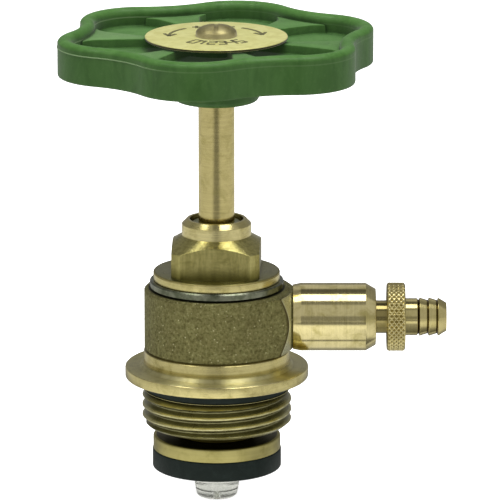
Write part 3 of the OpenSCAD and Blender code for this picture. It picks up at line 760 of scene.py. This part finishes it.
def make_green_plastic(mould_z):
    """Satin green plastic with faint flow marks and dusty patches, painted shade in corners and under the
    plate, and a painted highlight along the mould line, strongest towards -X.
    """
    material, tree = new_material("green_plastic")
    spot = place_mm(tree)
    flow = speckle(stretched(spot, 0.35), 0.22, 5.0, 0.6, 1.2)
    grain = speckle(spot, 3.2, 4.0, 0.6)
    tone = blend(vary(flow), (0.046, 0.132, 0.021), (0.070, 0.178, 0.036))
    dust = rise(speckle(spot, 0.9, 6.0, 0.7), 0.52, 0.78, 0.0, 0.35)
    tone = blend(dust, tone, (0.12, 0.245, 0.07))
    parts = split(spot)
    # Painted highlight: a pale line along the mould line, fading away from -X.
    mould_line_highlight = product(rise(away(parts[2], mould_z), 0.2, 0.06), rise(parts[0], -8.0, -20.0, 0.15, 0.75))
    tone = blend(mould_line_highlight, tone, (0.28, 0.42, 0.2))
    # Painted shade: ambient occlusion, with other pieces, darkens corners, the dish and the area under the
    # plate.
    corner = rise(open_air(tree, 4.0, False), 0.95, 0.45)
    tone = blend(corner, tone, (0.25, 0.34, 0.23), "MULTIPLY")
    rough = calc("ADD", vary(grain, 0.36, 0.48), product(corner, 0.3))
    return finished(material, Base_Color=tone, Roughness=rough, Specular_IOR_Level=0.35,
                    Normal=bump(grain, 0.12, 0.00008))


def make_plate_brass():
    """Pale brass sheet with a soft uneven sheen, and painted shade on its side edge."""
    material, tree = new_material("plate_brass")
    spot = place_mm(tree)
    fine = speckle(spot, 4.5, 4.0, 0.65)
    cloud = speckle(spot, 0.35, 4.0, 0.6, 0.5)
    tone = blend(vary(cloud), (0.74, 0.71, 0.25), (0.86, 0.84, 0.36))
    radius, along = lathe_place(tree)[:2]
    top = high("wheel_plate").z
    # Painted shade: the plate's side is near black.
    rim = product(rise(radius, PLATE_R - 0.1, PLATE_R - 0.02), rise(along, top - 0.15, top - 0.25))
    tone = blend(rim, tone, (0.05, 0.045, 0.015))
    rough = vary(fine, 0.36, 0.5)
    return finished(material, Base_Color=tone, Metallic=0.55, Roughness=rough,
                    Normal=bump(fine, 0.2, 0.00004))


def make_clear_plastic():
    """Clear plastic, a little cloudy, with faint moulding streaks."""
    material, tree = new_material("clear_plastic")
    spot = place_mm(tree)
    cloud = speckle(spot, 0.8, 4.0, 0.6, 1.0)
    tone = blend(vary(cloud), (0.66, 0.67, 0.6), (0.8, 0.81, 0.74))
    rough = vary(speckle(spot, 2.5, 3.0, 0.6), 0.08, 0.25)
    return finished(material, Base_Color=tone, Roughness=rough, IOR=1.46,
                    Transmission_Weight=0.75, Normal=bump(cloud, 0.15, 0.0001))


def make_ink():
    """Dark enamel in the plate's marks."""
    material, tree = new_material("plate_marks")
    fine = speckle(place_mm(tree), 5.0, 4.0, 0.6)
    tone = blend(vary(fine), (0.10, 0.095, 0.03), (0.20, 0.185, 0.07))
    return finished(material, Base_Color=tone, Metallic=0.3, Roughness=vary(fine, 0.4, 0.55))


# ---- Handwheel ----

def wheel_outline(inset):
    """The six-lobed outline, moved inwards by inset: lobe arcs joined by arcs that bend the other way."""
    lobe_at = WHEEL_TIP - LOBE_R
    cos_half, sin_half = math.cos(HALF_STEP), math.sin(HALF_STEP)
    waist_r = ((lobe_at ** 2 + WHEEL_WAIST ** 2 - 2 * lobe_at * WHEEL_WAIST * cos_half - LOBE_R ** 2)
               / (2 * LOBE_R - 2 * WHEEL_WAIST + 2 * lobe_at * cos_half))
    waist_at = WHEEL_WAIST + waist_r
    lobe_swing = math.atan2(waist_at * sin_half, waist_at * cos_half - lobe_at)
    waist_swing = lobe_swing - HALF_STEP
    outline = []
    for k in range(LOBES):
        turn = LOBE_TURN + 2 * HALF_STEP * k
        for i in range(LOBE_STEPS):
            a = lobe_swing * (2 * i / LOBE_STEPS - 1)
            r = LOBE_R - inset
            outline.append(turned((lobe_at + r * math.cos(a), r * math.sin(a)), turn))
        for i in range(WAIST_STEPS):
            a = waist_swing * (2 * i / WAIST_STEPS - 1)
            r = waist_r + inset
            outline.append(turned((waist_at - r * math.cos(a), r * math.sin(a)), turn + HALF_STEP))
    return outline


def ledge_outline():
    """The mould line's ledge, which stands out on the left and fades away to the right."""
    start, end = MOULD_FADE
    outline = []
    for (x, y), (flush_x, flush_y) in zip(wheel_outline(0.0), wheel_outline(MOULD_STEP)):
        fade = min(1.0, max(0.0, (x - start) / (end - start)))
        outline.append((x + (flush_x - x) * fade, y + (flush_y - y) * fade))
    return outline


def make_rim(mould_z):
    """The rim with its bead and the web below the dish, as one closed shell. A row without an inset
    follows the mould line's ledge."""
    middle = RIM_W / 2
    z_bead = Z_RIM_TOP - BEAD_H
    z_web = Z_FLOOR - WEB_T
    rows = [(RIM_EDGE, Z_RIM)]
    for i in range(1, 6):
        a = math.pi / 2 * i / 5
        rows.append((RIM_EDGE - (RIM_EDGE - MOULD_STEP) * math.sin(a), Z_RIM + RIM_EDGE * (1 - math.cos(a))))
    rows += [(MOULD_STEP, mould_z - 0.2), (None, mould_z - 0.1), (None, mould_z), (MOULD_STEP, mould_z + 0.1)]
    for i in range(17):
        a = math.pi * i / 16
        inset = max(MOULD_STEP, middle - middle * math.cos(a))
        rows.append((inset, z_bead + BEAD_H * math.sin(a)))
    rows.append((RIM_W, z_bead - 0.2))
    for i in range(6):
        a = math.pi / 2 * i / 5
        rows.append((RIM_W + WEB_FILLET * (1 - math.cos(a)), Z_FLOOR + WEB_FILLET * (1 - math.sin(a))))
    rings = [[(x, y, z) for x, y in (ledge_outline() if inset is None else wheel_outline(inset))]
             for inset, z in rows]
    directions = [Vector(point).normalized() for point in wheel_outline(0.0)]
    inner = HUB_R - 0.5
    for z in (Z_FLOOR, z_web):
        rings.append([(inner * d.x, inner * d.y, z) for d in directions])
    edge = RIM_FOOT_EDGE
    inside = ((RIM_W + edge, z_web), (RIM_W, z_web - edge), (RIM_W, Z_RIM + edge), (RIM_W - edge, Z_RIM))
    for inset, z in inside:
        rings.append([(x, y, z) for x, y in wheel_outline(inset)])
    return shell(rings, loop=True)


def make_spoke(k):
    """A raised wedge with rounded edges and a fillet at its foot; it runs into the hub and the rim."""
    top = Z_FLOOR + SPOKE_H
    end = WHEEL_WAIST - RIM_W + 0.6
    start = HUB_R - 0.7
    turn = LOBE_TURN + HALF_STEP * (2 * k + 1)
    sides = [(0.55, Z_FLOOR - 0.5), (0.55, Z_FLOOR), (0.2, Z_FLOOR + 0.12), (0.05, Z_FLOOR + 0.4),
             (0.0, top - 0.35), (-0.1, top - 0.1), (-0.35, top)]
    steps = 22
    rows = []
    for i in range(steps + 1):
        along = start + (end - start) * i / steps
        share = max(0.0, (along - HUB_R) / (end - HUB_R))
        flare = SPOKE_FLARE * max(0.0, (along - end + SPOKE_FLARE_LEN) / SPOKE_FLARE_LEN) ** 2
        half = SPOKE_HUB_W / 2 + (SPOKE_RIM_W - SPOKE_HUB_W) / 2 * share ** 1.3 + flare
        right = [(along, max(0.05, half + out), z) for out, z in sides]
        section = right + [(x, -y, z) for x, y, z in reversed(right)]
        rows.append([(*turned((x, y), turn), z) for x, y, z in section])
    return shell(rows, capped=True)


def make_wheel(material, mould_z):
    """The rim and web, the hub and the spokes, as one piece."""
    bore, bottom, top = STEM_R + STEM_GAP, low("handwheel").z, low("wheel_plate").z
    hub = lathe(rounded([(bore, bottom), (HUB_R, bottom, HUB_EDGE), (HUB_R, top), (bore, top)], 6))
    shells = [make_rim(mould_z), hub] + [make_spoke(k) for k in range(LOBES)]
    return make_piece("wheel_body", shells, material, "spindle", "green_plastic", "handwheel")


# ---- Plate and screw ----

def make_plate(material):
    bottom, top = heights("wheel_plate")
    disc = flat_ring(PLATE_HOLE_R, PLATE_R, bottom, top, PLATE_EDGE, PLATE_EDGE)
    return make_piece("plate_disc", [disc], material, "spindle", "plate_brass", "wheel_plate")


def stroke(path, width=MARK_W):
    """A flat raised line along a path of (x, y) places on the plate."""
    base = high("wheel_plate").z - MARK_SINK
    top = high("wheel_plate").z + MARK_H
    rows = []
    for k, point in enumerate(path):
        ahead = Vector(path[min(k + 1, len(path) - 1)]) - Vector(path[max(k - 1, 0)])
        side = Vector((-ahead.y, ahead.x)).normalized() * width / 2
        left, right = Vector(point) + side, Vector(point) - side
        rows.append([(*left, base), (*left, top), (*right, top), (*right, base)])
    return shell(rows, capped=True)


def arc_path(radius, start, end):
    """Places on an arc about the plate's middle; angles in degrees from +X."""
    count = max(2, int(abs(end - start) / 4))
    angles = [math.radians(start + (end - start) * i / count) for i in range(count + 1)]
    return [(radius * math.cos(a), radius * math.sin(a)) for a in angles]


def arrow_strokes(radius, start, end):
    """A curved arrow with its head at the end."""
    forward = 1 if end > start else -1
    tip = Vector(arc_path(radius, end, end + 1)[0])
    back = ARROW_HEAD * forward
    sides = (ARROW_HEAD_SIDE, -ARROW_HEAD_SIDE)
    barbs = [Vector(arc_path(radius + side, end - back, end)[0]) for side in sides]
    return [stroke(arc_path(radius, start, end))] + [stroke([barb, tip]) for barb in barbs]


# Numbers as strokes, in a box one wide and two high.
DIGITS = {
    "0": [[(0, 0), (0, 2), (1, 2), (1, 0), (0, 0)]],
    "1": [[(0.2, 1.6), (0.6, 2), (0.6, 0)]],
    "2": [[(0, 2), (1, 2), (1, 1), (0, 1), (0, 0), (1, 0)]],
    "3": [[(0, 2), (1, 2), (1, 0), (0, 0)], [(0.2, 1), (1, 1)]],
    "4": [[(0, 2), (0, 1), (1, 1)], [(1, 2), (1, 0)]],
    "5": [[(1, 2), (0, 2), (0, 1), (1, 1), (1, 0), (0, 0)]],
}


def digit_strokes(digit, radius, angle):
    """One number, upright for who stands outside the plate at that angle in degrees."""
    turn = math.radians(angle + 90)
    shells = []
    for path in DIGITS[digit]:
        placed = []
        for x, y in path:
            flat = ((x - 0.5) * DIGIT_SIZE, (y - 1) * DIGIT_SIZE - radius)
            placed.append(turned(flat, turn))
        shells += [stroke(list(pair), DIGIT_LINE) for pair in zip(placed, placed[1:])]
    return shells


def polar(place):
    """A place's distance from the axis, and its angle in degrees from +X."""
    return math.hypot(place.x, place.y), math.degrees(math.atan2(place.y, place.x))


def make_plate_marks(material, plate):
    """Generic marks: arrows with + and - for the two ways to turn, and plain numbers in front."""
    plus_r, plus_angle = polar(on_surface("plus_arrow", plate))
    minus_r, minus_angle = polar(on_surface("minus_arrow", plate))
    numbers_r, numbers_angle = polar(on_surface("numbers", plate))
    pieces = {}
    for name, radius, angle, way in (("plus", plus_r, plus_angle, 1), ("minus", minus_r, minus_angle, -1)):
        shells = arrow_strokes(radius, angle - ARROW_REACH * way, angle + ARROW_REACH * way)
        sign = Vector(arc_path(radius, angle - SIGN_OFF * way, angle)[0])
        lines = [Vector((SIGN_HALF_W, 0))] + ([Vector((0, SIGN_HALF_H))] if name == "plus" else [])
        shells += [stroke([sign - half, sign + half]) for half in lines]
        pieces[name + "_arrow"] = make_piece(name + "_arrow", shells, material, "spindle", "plate_brass")
    shells = []
    for k, digit in enumerate(DIGITS_SHOWN):
        off_middle = k - (len(DIGITS_SHOWN) - 1) / 2
        shells += digit_strokes(digit, numbers_r, numbers_angle + DIGIT_STEP * off_middle)
    pieces["numbers"] = make_piece("plate_numbers", shells, material, "spindle", "plate_brass")
    return pieces


def make_screw(material):
    """The domed screw; its slot is cut out of the finished dome."""
    end, bottom, top = low("wheel_screw").z, high("wheel_plate").z, high("wheel_screw").z
    foot = bottom + DOME_FOOT
    dome = [(SCREW_HEAD_R, bottom, 0.15)]
    for i in range(1, 12):
        a = math.pi / 2 * i / 12
        dome.append((SCREW_HEAD_R * math.cos(a) ** 0.85, foot + (top - foot) * math.sin(a)))
    outline = rounded([(0.0, end), (SHANK_R, end), (SHANK_R, bottom)] + dome + [(0.0, top)])
    screw = make_piece("screw", [lathe(outline)], material, "spindle", "bright_brass", "wheel_screw")
    half, reach = SLOT_W / 2, SCREW_HEAD_R + 1
    walls = [[(x, y, z) for x, y in ((-half, -reach), (half, -reach), (half, reach), (-half, reach))]
             for z in (top - SLOT_DEPTH, top + 1)]
    cutter = make_object("slot", [shell(walls, capped=True)])
    cut = screw.modifiers.new("slot", "BOOLEAN")
    cut.operation = "DIFFERENCE"
    cut.object = cutter
    bpy.context.view_layer.update()
    graph = bpy.context.evaluated_depsgraph_get()
    whole = bpy.data.meshes.new_from_object(screw.evaluated_get(graph))
    screw.modifiers.clear()
    screw.data = whole
    whole.set_sharp_from_angle(angle=math.radians(CREASE))
    bpy.data.objects.remove(cutter)
    return screw


# ---- Bonnet ----

def bonnet_angles():
    """Columns round the bonnet, with one at each edge between a flat and a corner of the block."""
    edge = math.acos(WRENCH_AF / 2 / WRENCH_CORNER_R)
    flat_steps, corner_steps = 46, 10
    angles = []
    for quarter in range(4):
        middle = WRENCH_TURN + quarter * math.pi / 2
        angles += [middle + edge * (2 * i / flat_steps - 1) for i in range(flat_steps)]
        gap = math.pi / 2 - 2 * edge
        angles += [middle + edge + gap * i / corner_steps for i in range(corner_steps)]
    return angles


def block_radius(angle):
    """Distance from the axis to the wrench block's side at an angle."""
    off = (angle - WRENCH_TURN + math.pi / 4) % (math.pi / 2) - math.pi / 4
    return min(WRENCH_AF / 2 / math.cos(off), WRENCH_CORNER_R)


def thread_radius(z, angle):
    """The pipe thread's radius: a right-hand helix with rounded crests and roots, run out at both ends."""
    crest = CREST_Z + THREAD_PITCH * angle / TAU
    off = abs((z - crest) / THREAD_PITCH - round((z - crest) / THREAD_PITCH))
    flank = (0.5 - off - THREAD_FLAT / 2) / (0.5 - THREAD_FLAT)
    share = min(1.0, max(0.0, flank))
    share = 0.35 * share + 0.65 * share * share * (3 - 2 * share)
    minor = THREAD_R - THREAD_DEPTH
    z_lip = -UNDERCUT_H - LIP_H
    if z > z_lip:
        return LIP_R
    top_limit = minor + max(0.0, z_lip - z)
    end_limit = SKIRT_R + max(0.0, z - Z_SKIRT) * 1.2
    return min(minor + THREAD_DEPTH * share, top_limit, end_limit)


def bonnet_outline(angle):
    """The bonnet's closed outline at one angle, from the gland bore down the outside and up the bores."""
    side = block_radius(angle)
    shoulder = Z_COLLAR - (side - COLLAR_R) * WRENCH_SLOPE
    corners = [
        (GLAND_R, Z_TOP, 0.12), (COLLAR_R - COLLAR_CHAMFER, Z_TOP, 0.15),
        (COLLAR_R, Z_TOP - COLLAR_CHAMFER, 0.2), (COLLAR_R, Z_COLLAR, 0.15),
        (side, shoulder, 0.16), (side, Z_WRENCH, 0.12),
        (SLEEVE_R, Z_WRENCH, 0.3), (SLEEVE_R, Z_DISC, 0.1),
        (CLIP_GROOVE_R, Z_DISC), (CLIP_GROOVE_R, Z_CLIP), (SLEEVE_R, Z_CLIP),
    ]
    grooves = ((Z_DRAIN + SEAL_GROOVE_AT, SEAL_GROOVE_HALF, SEAL_GROOVE_DEPTH),
               (Z_DRAIN, WATER_GROOVE_HALF, WATER_GROOVE_DEPTH),
               (Z_DRAIN - SEAL_GROOVE_AT, SEAL_GROOVE_HALF, SEAL_GROOVE_DEPTH))
    for middle, half, depth in grooves:
        corners += [(SLEEVE_R, middle + half), (SLEEVE_R - depth, middle + half),
                    (SLEEVE_R - depth, middle - half), (SLEEVE_R, middle - half)]
    corners += [
        (SLEEVE_R, Z_STEP), (STEP_R, Z_STEP, STEP_EDGE), (STEP_R, FLANGE_H, STEP_FOOT),
        (FLANGE_R, FLANGE_H, FLANGE_EDGE), (FLANGE_R, 0.0, FLANGE_EDGE), (RECESS_R, 0.0),
        (RECESS_R, GASKET_RECESS), (UNDERCUT_R, GASKET_RECESS),
        (UNDERCUT_R, -UNDERCUT_H), (LIP_R, -UNDERCUT_H, 0.04),
    ]
    rows = 96
    for i in range(1, rows):
        z = -UNDERCUT_H + (Z_SKIRT + 0.2 + UNDERCUT_H) * i / rows
        corners.append((thread_radius(z, angle), z))
    corners += [
        (SKIRT_R, Z_SKIRT, 0.15), (CAVITY_R, Z_SKIRT, 0.2), (CAVITY_R, CAVITY_TOP),
        (STEM_BORE_R, CAVITY_TOP), (STEM_BORE_R, STEM_BORE_TOP), (STEM_R + STEM_GAP, STEM_BORE_TOP),
        (STEM_R + STEM_GAP, Z_TOP - GLAND_DEPTH), (GLAND_R, Z_TOP - GLAND_DEPTH),
    ]
    return rounded(corners, 3)


def make_bonnet(material):
    """The bonnet, from an outline for each column round it."""
    columns = []
    for angle in bonnet_angles():
        columns.append([(r * math.cos(angle), r * math.sin(angle), z) for r, z in bonnet_outline(angle)])
    body = shell([list(ring) for ring in zip(*columns)], loop=True)
    return make_piece("bonnet_body", [body], material, "head", "brass", "bonnet", crease=26)


# ---- Valve disc ----

def make_disc_plate(material):
    """The brass plate over the rubber, with the hub that holds the stem's head."""
    z_under, z_hub = heights("disc_holder")
    z_top = z_under + HOLDER_T
    z_bore = z_hub - HOLDER_BORE_DEPTH
    outline = [(0.0, z_under), (HOLDER_R, z_under, 0.15), (HOLDER_R, z_top, 0.35),
               (HOLDER_HUB_R, z_top, 0.3), (HOLDER_HUB_R, z_hub, 0.3), (HOLDER_BORE_R, z_hub, 0.1),
               (HOLDER_BORE_R, z_bore), (0.0, z_bore)]
    make_piece("disc_plate", [lathe(rounded(outline))], material, "valve", "brass", "disc_holder")


def make_seal(material):
    disc = flat_ring(SEAL_BORE_R, high("valve_seal").x, *heights("valve_seal"), 0.35, 0.3, 128)
    make_piece("seal_disc", [disc], material, "valve", "rubber", "valve_seal")


def make_nose(material):
    """The clear nose under the rubber, with a line round it and a dimple in its end."""
    z_end, z_top = heights("nose_plug")
    z_line = on_surface("nose_line", frame["nodes"]["nose_plug"]).z
    z_seal = low("valve_seal").z
    outline = [(0.0, z_end + 1.4), (NOSE_DIMPLE_R, z_end + 1.2), (NOSE_DIMPLE_R + 0.1, z_end, 0.15),
               (NOSE_END_R, z_end, 0.9), (NOSE_R, z_line - 0.35, 0.1), (NOSE_R - 0.15, z_line - 0.1, 0.08),
               (NOSE_R + 0.12, z_line + 0.1, 0.1), (NOSE_R + 0.35, z_seal, 0.1), (NOSE_SHANK_R, z_seal, 0.1),
               (NOSE_SHANK_R, z_top, 0.2), (0.0, z_top)]
    return make_piece("nose", [lathe(rounded(outline))], material, "valve", "clear_plastic", "nose_plug")


def make_gasket(material):
    """The black ring in the undercut, pressed up into its recess."""
    inner, bottom, corner = UNDERCUT_R + GASKET_GAP, GASKET_GAP - UNDERCUT_H, high("head_gasket")
    gasket = flat_ring(inner, corner.x, bottom, corner.z, 0.3, 0.05)
    make_piece("gasket_ring", [gasket], material, "head", "rubber", "head_gasket")


# ---- Drain ----

def make_drain_barrel(material):
    """The barrel with its spigot in the boss, and the bore, seat and inlet inside."""
    x_spigot = low("drain_body").x
    outline = [(INLET_R, x_spigot), (SPIGOT_R, x_spigot), (SPIGOT_R, X_BOSS), (DRAIN_R - 0.35, X_BOSS, 0.1),
               (DRAIN_R, X_BOSS + 1.8, 1.5), (DRAIN_R, X_DRAIN_END - DRAIN_CHAMFER, 0.35),
               (DRAIN_FACE_R, X_DRAIN_END, 0.15), (BARREL_BORE_R, X_DRAIN_END, 0.1),
               (BARREL_BORE_R, X_BOSS + BARREL_BORE_AT), (SEAT_R, X_BOSS + BARREL_BORE_AT),
               (SEAT_R, X_BOSS + SEAT_AT), (INLET_R, X_BOSS + SEAT_AT)]
    barrel = lathe(rounded(outline), 160, along_drain=True)
    return make_piece("drain_barrel", [barrel], material, "drain", "bright_brass", "drain_body")


def knurl_radius(share, angle):
    """Crossed helical ridges with four-sided pits between them."""
    around = KNURL_TEETH * angle / TAU
    along = KNURL_ROWS * share
    first = abs((around + along) % 1.0 - 0.5) * 2
    second = abs((around - along) % 1.0 - 0.5) * 2
    return KNURL_R - KNURL_DEPTH * (1 - max(first, second) ** 1.6)


def make_knurl(material):
    """The knurled ring, with a chamfer at both ends."""
    around, across = KNURL_TEETH * 8, 44
    rows = [[(X_KNURL, 0.0, Z_DRAIN)]]
    for i in range(across + 1):
        share = i / across
        x = X_KNURL + KNURL_W * share
        limit = KNURL_R - max(0.0, KNURL_EDGE - min(x - X_KNURL, X_TAIL - x))
        ring = []
        for j in range(around):
            a = TAU * j / around
            r = min(knurl_radius(share, a), limit)
            ring.append((x, r * math.cos(a), Z_DRAIN + r * math.sin(a)))
        rows.append(ring)
    rows.append([(X_TAIL, 0.0, Z_DRAIN)])
    return make_piece("knurled_ring", [shell(rows)], material, "nozzle", "bright_brass")


def make_nozzle(material):
    """The nozzle: its tip and plunger in the barrel, its bare neck, and the hose tail with barbs."""
    x_tip = low("drain_nozzle").x
    x_plunger = x_tip + TIP_LEN
    x_neck = X_DRAIN_END - PLUNGER_END
    x_bore = X_DRAIN_END - HOSE_BORE_END
    outline = [(0.0, x_tip), (TIP_R, x_tip), (TIP_R, x_plunger), (PLUNGER_R, x_plunger),
               (PLUNGER_R, x_neck), (NECK_R, x_neck), (NECK_R, X_KNURL + 0.3), (TAIL_R, X_KNURL + 0.4),
               (TAIL_R, X_BARBS - 0.55, 0.1)]
    for k in range(BARBS):
        x = X_BARBS + k * BARB_PITCH
        outline += [(BARB_FOOT_R, x - BARB_RUN, 0.08), (BARB_R, x + 0.02, 0.07)]
    outline += [(MOUTH_R, X_MOUTH, 0.2), (HOSE_BORE_R, X_MOUTH, 0.15), (HOSE_BORE_R, x_bore), (0.0, x_bore)]
    tail = lathe(rounded(outline), 128, along_drain=True)
    return make_piece("hose_tail", [tail], material, "nozzle", "bright_brass", "drain_nozzle")


# ---- Stage ----

def seen_directly(tree):
    """1 for what the camera sees, also through clear plastic, and 0 in reflections."""
    path = add("LightPath", tree=tree).outputs
    return calc("MAXIMUM", path["Is Camera Ray"], path["Is Transmission Ray"])


def make_floor(bottom):
    """A plain floor that looks white. Metal sees it as a glowing pattern, pale with a painted pool of light
    in front of the object, painted shade far in front, behind it and under the tail, and a painted
    shadow under the barrel."""
    material, tree = new_material("floor")
    x, y = split(add("TexCoord", tree=tree).outputs["Object"])[:2]
    across = calc("DIVIDE", x, 0.12)
    ahead = calc("DIVIDE", calc("ADD", y, 0.09), 0.09)
    far = calc("ADD", product(across, across), product(ahead, ahead))
    near_light = product(calc("EXPONENT", product(far, -1.0)), 0.5)
    in_front = product(within(x, 0.0, 0.07, 0.14), rise(y, -0.14, -0.2))
    behind = product(rise(y, 0.008, 0.02), within(x, 0.0, 0.06, 0.12))
    under_tail = product(within(x, 0.052, 0.01, 0.018), band(y, -0.1, -0.06, 0.006, 0.012))
    barrel_shadow = product(within(x, 0.026, 0.01, 0.014), within(y, -0.0168, 0.001, 0.005))
    # Painted light and shade, seen only in metal.
    dark = calc("ADD", product(in_front, 0.4), product(behind, 0.35))
    dark = calc("ADD", dark, product(calc("MAXIMUM", under_tail, barrel_shadow), 0.6))
    light = calc("SUBTRACT", calc("ADD", near_light, 0.6), dark)
    seen_in_metal = add("Emission", Color=(1.0, 1.0, 0.98, 1.0), Strength=light).outputs[0]
    paint = add("BsdfPrincipled", tree=tree, Base_Color=(0.9, 0.9, 0.9, 1.0), Roughness=0.9,
                Emission_Color=(1.0, 1.0, 1.0, 1.0), Emission_Strength=0.9).outputs[0]
    finished(material, "MixShader", _0=seen_directly(tree), _1=seen_in_metal, _2=paint)
    bpy.ops.mesh.primitive_plane_add(size=12.0, location=(0.0, 0.0, bottom - FLOOR_GAP))
    floor = bpy.context.object
    floor.name = "floor"
    floor.data.materials.append(material)


def make_world():
    """Walls that look near white. Metal sees them dim, dimmer behind the camera and over the back but
    for a band there, and dimmest overhead. The angles rise from the camera's side, over the top."""
    world = bpy.data.worlds.new("world")
    world.use_nodes = True
    tree = world.node_tree
    tree.nodes.clear()
    x, y, z = split(add("TexCoord", tree=tree).outputs["Generated"])
    up = product(calc("ARCTAN2", z, product(y, -1.0)), 360 / TAU)
    front = product(within(x, 0.0, 0.18, 0.34), rise(up, 20.0, 12.0))
    bright = product(within(x, 0.0, 0.2, 0.3), band(up, 118.0, 124.0, 150.0, 158.0))
    back = calc("SUBTRACT", rise(up, 100.0, 106.0), bright)
    over = product(within(x, 0.0, 0.1, 0.2), band(up, 50.0, 60.0, 120.0, 130.0))
    light = product(rise(calc("MAXIMUM", front, back), 0.0, 1.0, 0.48, 0.24),
                    rise(over, 0.0, 1.0, 1.0, 0.4))
    strength = add("Mix", _0=seen_directly(tree), _2=light, _3=0.95).outputs[0]
    shade = add("Background", Color=(1.0, 1.0, 1.0, 1.0), Strength=strength)
    add("OutputWorld", Surface=shade.outputs[0])
    bpy.context.scene.world = world


def make_lights(drain):
    """Soft boxes that face straight down, each for one group of pieces. Metal can't see the wide one."""
    others = [piece for piece in bpy.data.objects if piece.type == "MESH" and piece not in drain]
    groups = {}
    for name, pieces in (("body_lit", others), ("drain_lit", drain)):
        groups[name] = bpy.data.collections.new(name)
        for piece in pieces:
            groups[name].objects.link(piece)
    for name, lit, place, size, power in LIGHTS:
        data = bpy.data.lights.new(name, "AREA")
        data.shape = "RECTANGLE"
        data.size, data.size_y = size
        data.energy = power
        light = new_object(name, data)
        light.location = (*place, LIGHT_Z)
        light.visible_glossy = name != "wide_light"
        light.light_linking.receiver_collection = groups[lit]


# ---- Build ----

bpy.context.scene.view_settings.view_transform = "Standard"
camera = make_camera()
make_world()
make_floor(cad_box[0].z)

MOULD_Z = on_surface("mould_line", frame["nodes"]["handwheel"]).z
MATERIALS = {
    "brass": make_brass("brass", MACHINED, STAINED, 0.2, 0.2, 0.97, zones=bonnet_zones),
    "holder": make_brass("dull_brass", (0.54, 0.48, 0.18), (0.42, 0.37, 0.12), 0.34, zones=holder_zones),
    "bright_brass": make_brass("bright_brass", BRIGHT, STAINED, 0.17, 0.12),
    "drain_brass": make_brass("drain_brass", POLISHED, STAINED, 0.13, 0.16, 0.75, True, corners=0.4),
    "nozzle_brass": make_brass("nozzle_brass", (0.72, 0.62, 0.28), STAINED, 0.16, 0.16, 0.75, True,
                               nozzle_zones),
    "knurl_brass": make_brass("knurl_brass", POLISHED, BRIGHT, 0.16, 0.1, 0.0, True, knurl_zones),
    "screw_brass": make_brass("screw_brass", (0.62, 0.55, 0.26), (0.45, 0.38, 0.14), 0.42),
    "bush_brass": make_brass("bush_brass", (0.46, 0.48, 0.32), (0.36, 0.36, 0.2), 0.34),
    "cast_brass": make_cast_brass(),
    "plate_brass": make_plate_brass(),
    "steel": make_steel(),
    "rubber": make_rubber("rubber", (0.006, 0.014, 0.010), (0.014, 0.025, 0.020)),
    "green_plastic": make_green_plastic(MOULD_Z),
    "clear_plastic": make_clear_plastic(),
    "ink": make_ink(),
}
# Each CAD node takes its slot's material, apart from the bush, which is duller.
for row in frame["record"]["subparts"]:
    look = "bush_brass" if row["node"] == "gland_bush" else row["material_slot"]
    node = frame["nodes"][row["node"]]
    node.data.materials.clear()
    node.data.materials.append(MATERIALS[look])

wheel = make_wheel(MATERIALS["green_plastic"], MOULD_Z)
plate = make_plate(MATERIALS["plate_brass"])
marks = make_plate_marks(MATERIALS["ink"], plate)
screw = make_screw(MATERIALS["screw_brass"])
bonnet = make_bonnet(MATERIALS["brass"])
make_disc_plate(MATERIALS["holder"])
make_seal(MATERIALS["rubber"])
nose = make_nose(MATERIALS["clear_plastic"])
make_gasket(MATERIALS["rubber"])
barrel = make_drain_barrel(MATERIALS["drain_brass"])
nozzle = make_nozzle(MATERIALS["nozzle_brass"])
knurl = make_knurl(MATERIALS["knurl_brass"])
make_lights([barrel, nozzle, knurl])
# The photograph's brass shows the studio lights and no wheel.
for piece in (wheel, plate, screw, *marks.values()):
    piece.visible_glossy = False


# ---- How far the finished pieces show from the image points ----

def seen_places(piece):
    return [picture_place(piece.matrix_world @ v.co) for v in piece.data.vertices]


def edge_off(name, pieces, axis, pick):
    """How far a silhouette's edge shows from its point, in x or in y alone."""
    places = [place for piece in pieces for place in seen_places(piece)]
    reach = pick(place[axis] for place in places)
    off = [0.0, 0.0]
    off[axis] = round(reach - POINTS[name][axis], 2)
    return off


def middle_off(name, places):
    """How far the middle of a thing's finished vertices shows from its point."""
    x = sum(place[0] for place in places) / len(places)
    y = sum(place[1] for place in places) / len(places)
    return [round(x - POINTS[name][0], 2), round(y - POINTS[name][1], 2)]


def nearest_off(name, piece, place):
    """How far the finished vertex nearest to a place in millimetres shows from its point."""
    wanted = Vector(place) * MM
    places = [piece.matrix_world @ v.co for v in piece.data.vertices]
    vertex = min(places, key=lambda place: (place - wanted).length)
    x, y = picture_place(vertex)
    return [round(x - POINTS[name][0], 2), round(y - POINTS[name][1], 2)]


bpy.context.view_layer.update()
points_off = {
    "left_edge": edge_off("left_edge", [wheel], 0, min),
    "right_edge": edge_off("right_edge", [nozzle], 0, max),
    "top_edge": edge_off("top_edge", [wheel], 1, min),
    "bottom_edge": edge_off("bottom_edge", [nose], 1, max),
    "plate_left": edge_off("plate_left", [plate], 0, min),
    "plate_right": edge_off("plate_right", [plate], 0, max),
    "flange_left": edge_off("flange_left", [bonnet], 0, min),
    "flange_right": edge_off("flange_right", [bonnet], 0, max),
}
block_front = WRENCH_TURN - math.pi / 2
peak_z = Z_COLLAR - (WRENCH_AF / 2 - COLLAR_R) * WRENCH_SLOPE
peak = (*turned((WRENCH_AF / 2, 0.0), block_front), peak_z)
points_off["block_peak"] = nearest_off("block_peak", bonnet, peak)
points_off["knurl_middle"] = middle_off("knurl_middle", seen_places(knurl))
line_z = on_surface("nose_line", frame["nodes"]["nose_plug"]).z
points_off["nose_line"] = nearest_off("nose_line", nose, (0.0, -NOSE_R, line_z))
mould_place = on_surface("mould_line", frame["nodes"]["handwheel"])
points_off["mould_line"] = nearest_off("mould_line", wheel, mould_place)
for name, piece in marks.items():
    points_off[name] = middle_off(name, seen_places(piece))
